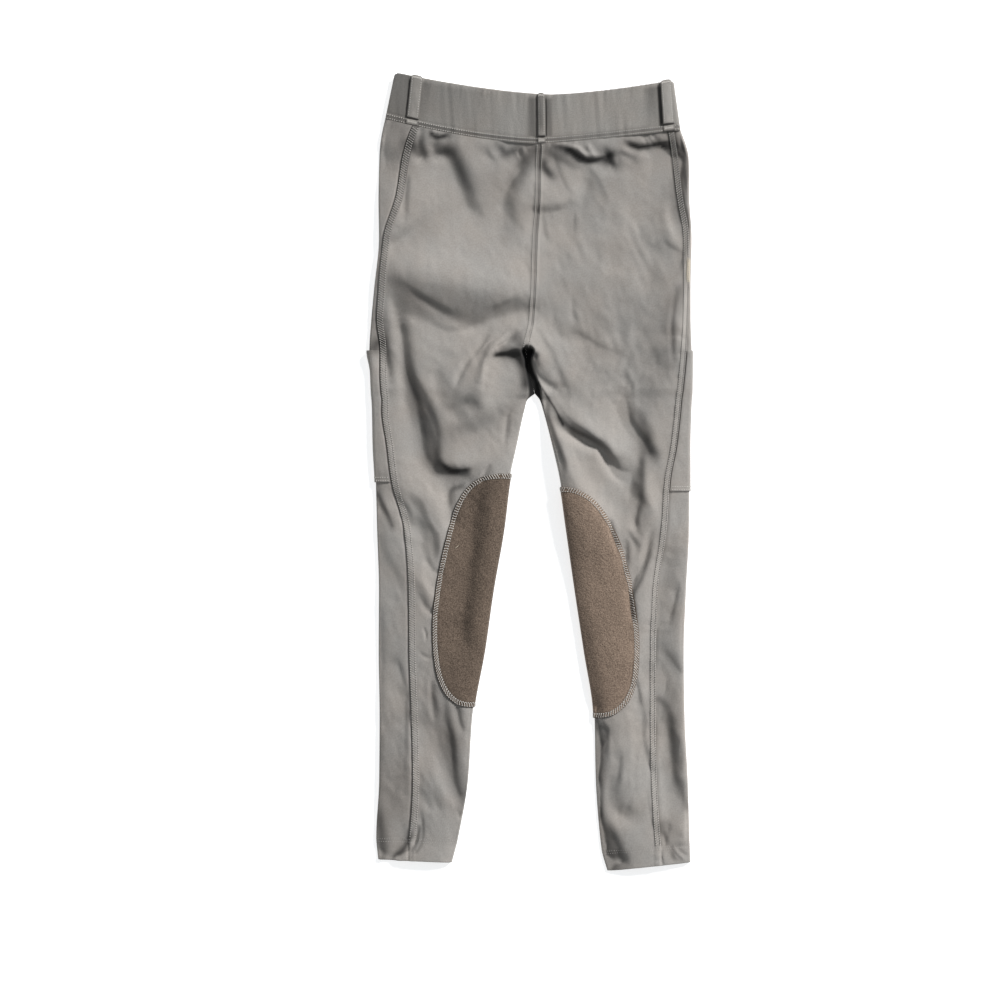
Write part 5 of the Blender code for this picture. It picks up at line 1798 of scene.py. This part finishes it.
x = np.linspace(BAND_SPAN[0] + 1.5, BAND_SPAN[1] - 1.5, 500)
rows = [band_line(x, np.full(x.shape, above)) for above in WAIST_ROWS]
sew_seam("waist", "waist_seam", rows, False)
rows = []
for loop in LOOPS.values():
    share = np.linspace(0.17, 0.95, 60)
    edge_place = 1.0 - LOOP_INSET / (loop.width / 2.0)
    rows += [needle_row(loop_line(loop, np.full(share.shape, across), share), PITCH, *LOOP_STITCH)
             for across in (-edge_place, edge_place)]
    across = np.linspace(-0.85, 0.85, 40)
    for tack_share in TACK_SHARES:
        tack = evenly(loop_line(loop, across, np.full(across.shape, tack_share)), TACK_PITCH)
        upwards = unit(np.cross(tack.out, np.gradient(tack.points, axis=0)))
        sizes = [np.full(len(tack.points), size) for size in TACK_STITCH]
        rows.append((tack.points, upwards, tack.out, *sizes))
sewn("belt_loop_stitches", rows, thread)

# %% [markdown]
# Two small signs of real sewing are left: a bar tack of cream thread where the right side seam
# was mended, with slanted crossing threads, and a loose end of the same thread on the left patch.

# %% Cream bar tack and thread end
MEND_SPAN = (234.0, 211.0)          # stations of the first and last cream thread
MEND_THREADS = 13
MEND_WIDTH = 0.7
MEND_LIFT = 0.5
# The ends of the cream threads: how far down the leg, at which place and how far off the cloth.
MEND_STARTS = ((0.0, -3.6, 0.35), (3.4, -3.0, 0.5))
MEND_ENDS = (2.6, 1.8, 0.35)
LOOSE_ENDS = ((-81.0, -85.0), (-77.5, -82.0))   # x and y of both ends of the loose thread
LOOSE_SIZE = (5.4, 0.6)             # its length and width


def mend_line(down, place, stand_off):
    station = np.linspace(*MEND_SPAN, MEND_THREADS) - down
    return leg_line("right", "outer", station, np.full(station.shape, place), stand_off)


tacks = []
second = mend_line(*MEND_ENDS)
for row in MEND_STARTS:
    first = mend_line(*row)
    span = second.points - first.points
    out = unit(first.out + second.out)
    middles = (first.points + second.points) / 2.0 + out * MEND_LIFT
    widths = np.full(len(span), MEND_WIDTH)
    tacks.append((middles, unit(span), out, np.linalg.norm(span, axis=1), widths))
sewn("cream_tack_stitches", tacks, cream_thread)

x, station = np.array(LOOSE_ENDS).T
place = -np.abs(x - edge_fold("left", "inner", station).bend_x)
end_line = leg_line("left", "inner", station, place, ON_PATCH + 0.3)
span = end_line.points[1:] - end_line.points[:1]
middle = end_line.points[:1] + span / 2.0
thread_end = (middle, unit(span), end_line.out[:1], *np.array(LOOSE_SIZE)[:, None])
sewn("thread_end", [thread_end], cream_thread)

# %% [markdown]
# ## What the cloth was cut to
# The size each sheet was cut to before it was sewn and laid down is printed: its width round the
# leg and its length along it, in metres, measured along the cloth from seam to seam. Most cuts
# taper with the leg.

# %% Sheets
def declare(piece, flat):
    """Print the size a laid sheet was cut to, in metres."""
    print(piece.name, "was cut", flat[0], "by", flat[1], "m")


declare(panels["back", "left"], (0.180, 0.796))
declare(panels["back", "right"], (0.188, 0.810))
declare(panels["side", "left"], (0.077, 0.793))
declare(panels["side", "right"], (0.078, 0.792))
declare(panels["front", "left"], (0.144, 0.783))
declare(panels["front", "right"], (0.148, 0.787))
declare(pockets["left"], (0.057, 0.145))
declare(pockets["right"], (0.062, 0.155))
declare(patches["left"], (0.136, 0.260))
declare(patches["right"], (0.136, 0.257))
declare(hems["left"], (0.192, 0.026))
declare(hems["right"], (0.203, 0.023))
declare(band_back, (0.331, 0.056))
declare(band_front, (0.332, 0.056))
for name in LOOPS:
    declare(loops[name], (0.0125, 0.058))
for name in FRONT_LOOPS:
    declare(loops[name], (0.0125, 0.053))

# %% [markdown]
# ## Floor, light and camera
# The breeches lie on a plain white floor. One broad soft light from the upper right models the
# creases, and a dim even surround fills the shadows. The camera looks straight down. The floor
# glows a little, so that the shadows on it stay pale.

# %% Floor
FLOOR_SIZE = 12.0
FLOOR_Z = -0.0003
FLOOR_COLOR = (0.93, 0.93, 0.93, 1.0)
FLOOR_GLOW = 0.64

bpy.ops.object.select_all(action="DESELECT")
bpy.ops.mesh.primitive_plane_add(size=FLOOR_SIZE, location=(0.0, 0.0, FLOOR_Z))
floor = bpy.context.active_object
floor.name = "floor"
floor_paint = bpy.data.materials.new("floor_paint")
floor_paint.use_nodes = True
floor_shader = floor_paint.node_tree.nodes["Principled BSDF"]
floor_shader.inputs["Base Color"].default_value = FLOOR_COLOR
floor_shader.inputs["Roughness"].default_value = 0.9
floor_shader.inputs["Specular IOR Level"].default_value = 0.0
floor_shader.inputs["Emission Color"].default_value = (1.0, 1.0, 1.0, 1.0)
floor_shader.inputs["Emission Strength"].default_value = FLOOR_GLOW
floor.data.materials.append(floor_paint)
print("floor stands at z", FLOOR_Z, "m")

# %% Light
KEY_FROM = Vector((0.62, 0.60, 0.50))
KEY_STRENGTH = 4.0
KEY_ANGLE = 14.0
FILL_COLOR = (0.95, 1.0, 1.04, 1.0)
FILL_STRENGTH = 0.3

key_data = bpy.data.lights.new("key_light", "SUN")
key_data.energy = KEY_STRENGTH
key_data.angle = math.radians(KEY_ANGLE)
key = add_object("key_light", key_data)
key.rotation_euler = KEY_FROM.to_track_quat("Z", "Y").to_euler()
world = bpy.data.worlds.new("studio")
world.use_nodes = True
world.node_tree.nodes["Background"].inputs["Color"].default_value = FILL_COLOR
world.node_tree.nodes["Background"].inputs["Strength"].default_value = FILL_STRENGTH
bpy.context.scene.world = world
bpy.context.scene.view_settings.view_transform = "Standard"
print("key light comes from", tuple(round(value, 2) for value in KEY_FROM))

# %% Camera
CAMERA_PLACE = (-0.03135, -0.0319, 4.127)
LENS = 135.0
SENSOR_WIDTH = 36.0

camera_data = bpy.data.cameras.new("camera")
camera_data.lens = LENS
camera_data.sensor_width = SENSOR_WIDTH
camera = add_object("camera", camera_data)
camera.location = CAMERA_PLACE
bpy.context.scene.camera = camera
print("camera stands", CAMERA_PLACE[2], "m above the floor")

# %% [markdown]
# ## The end
# The scene is finished.

# %% End
print("the scene is finished")
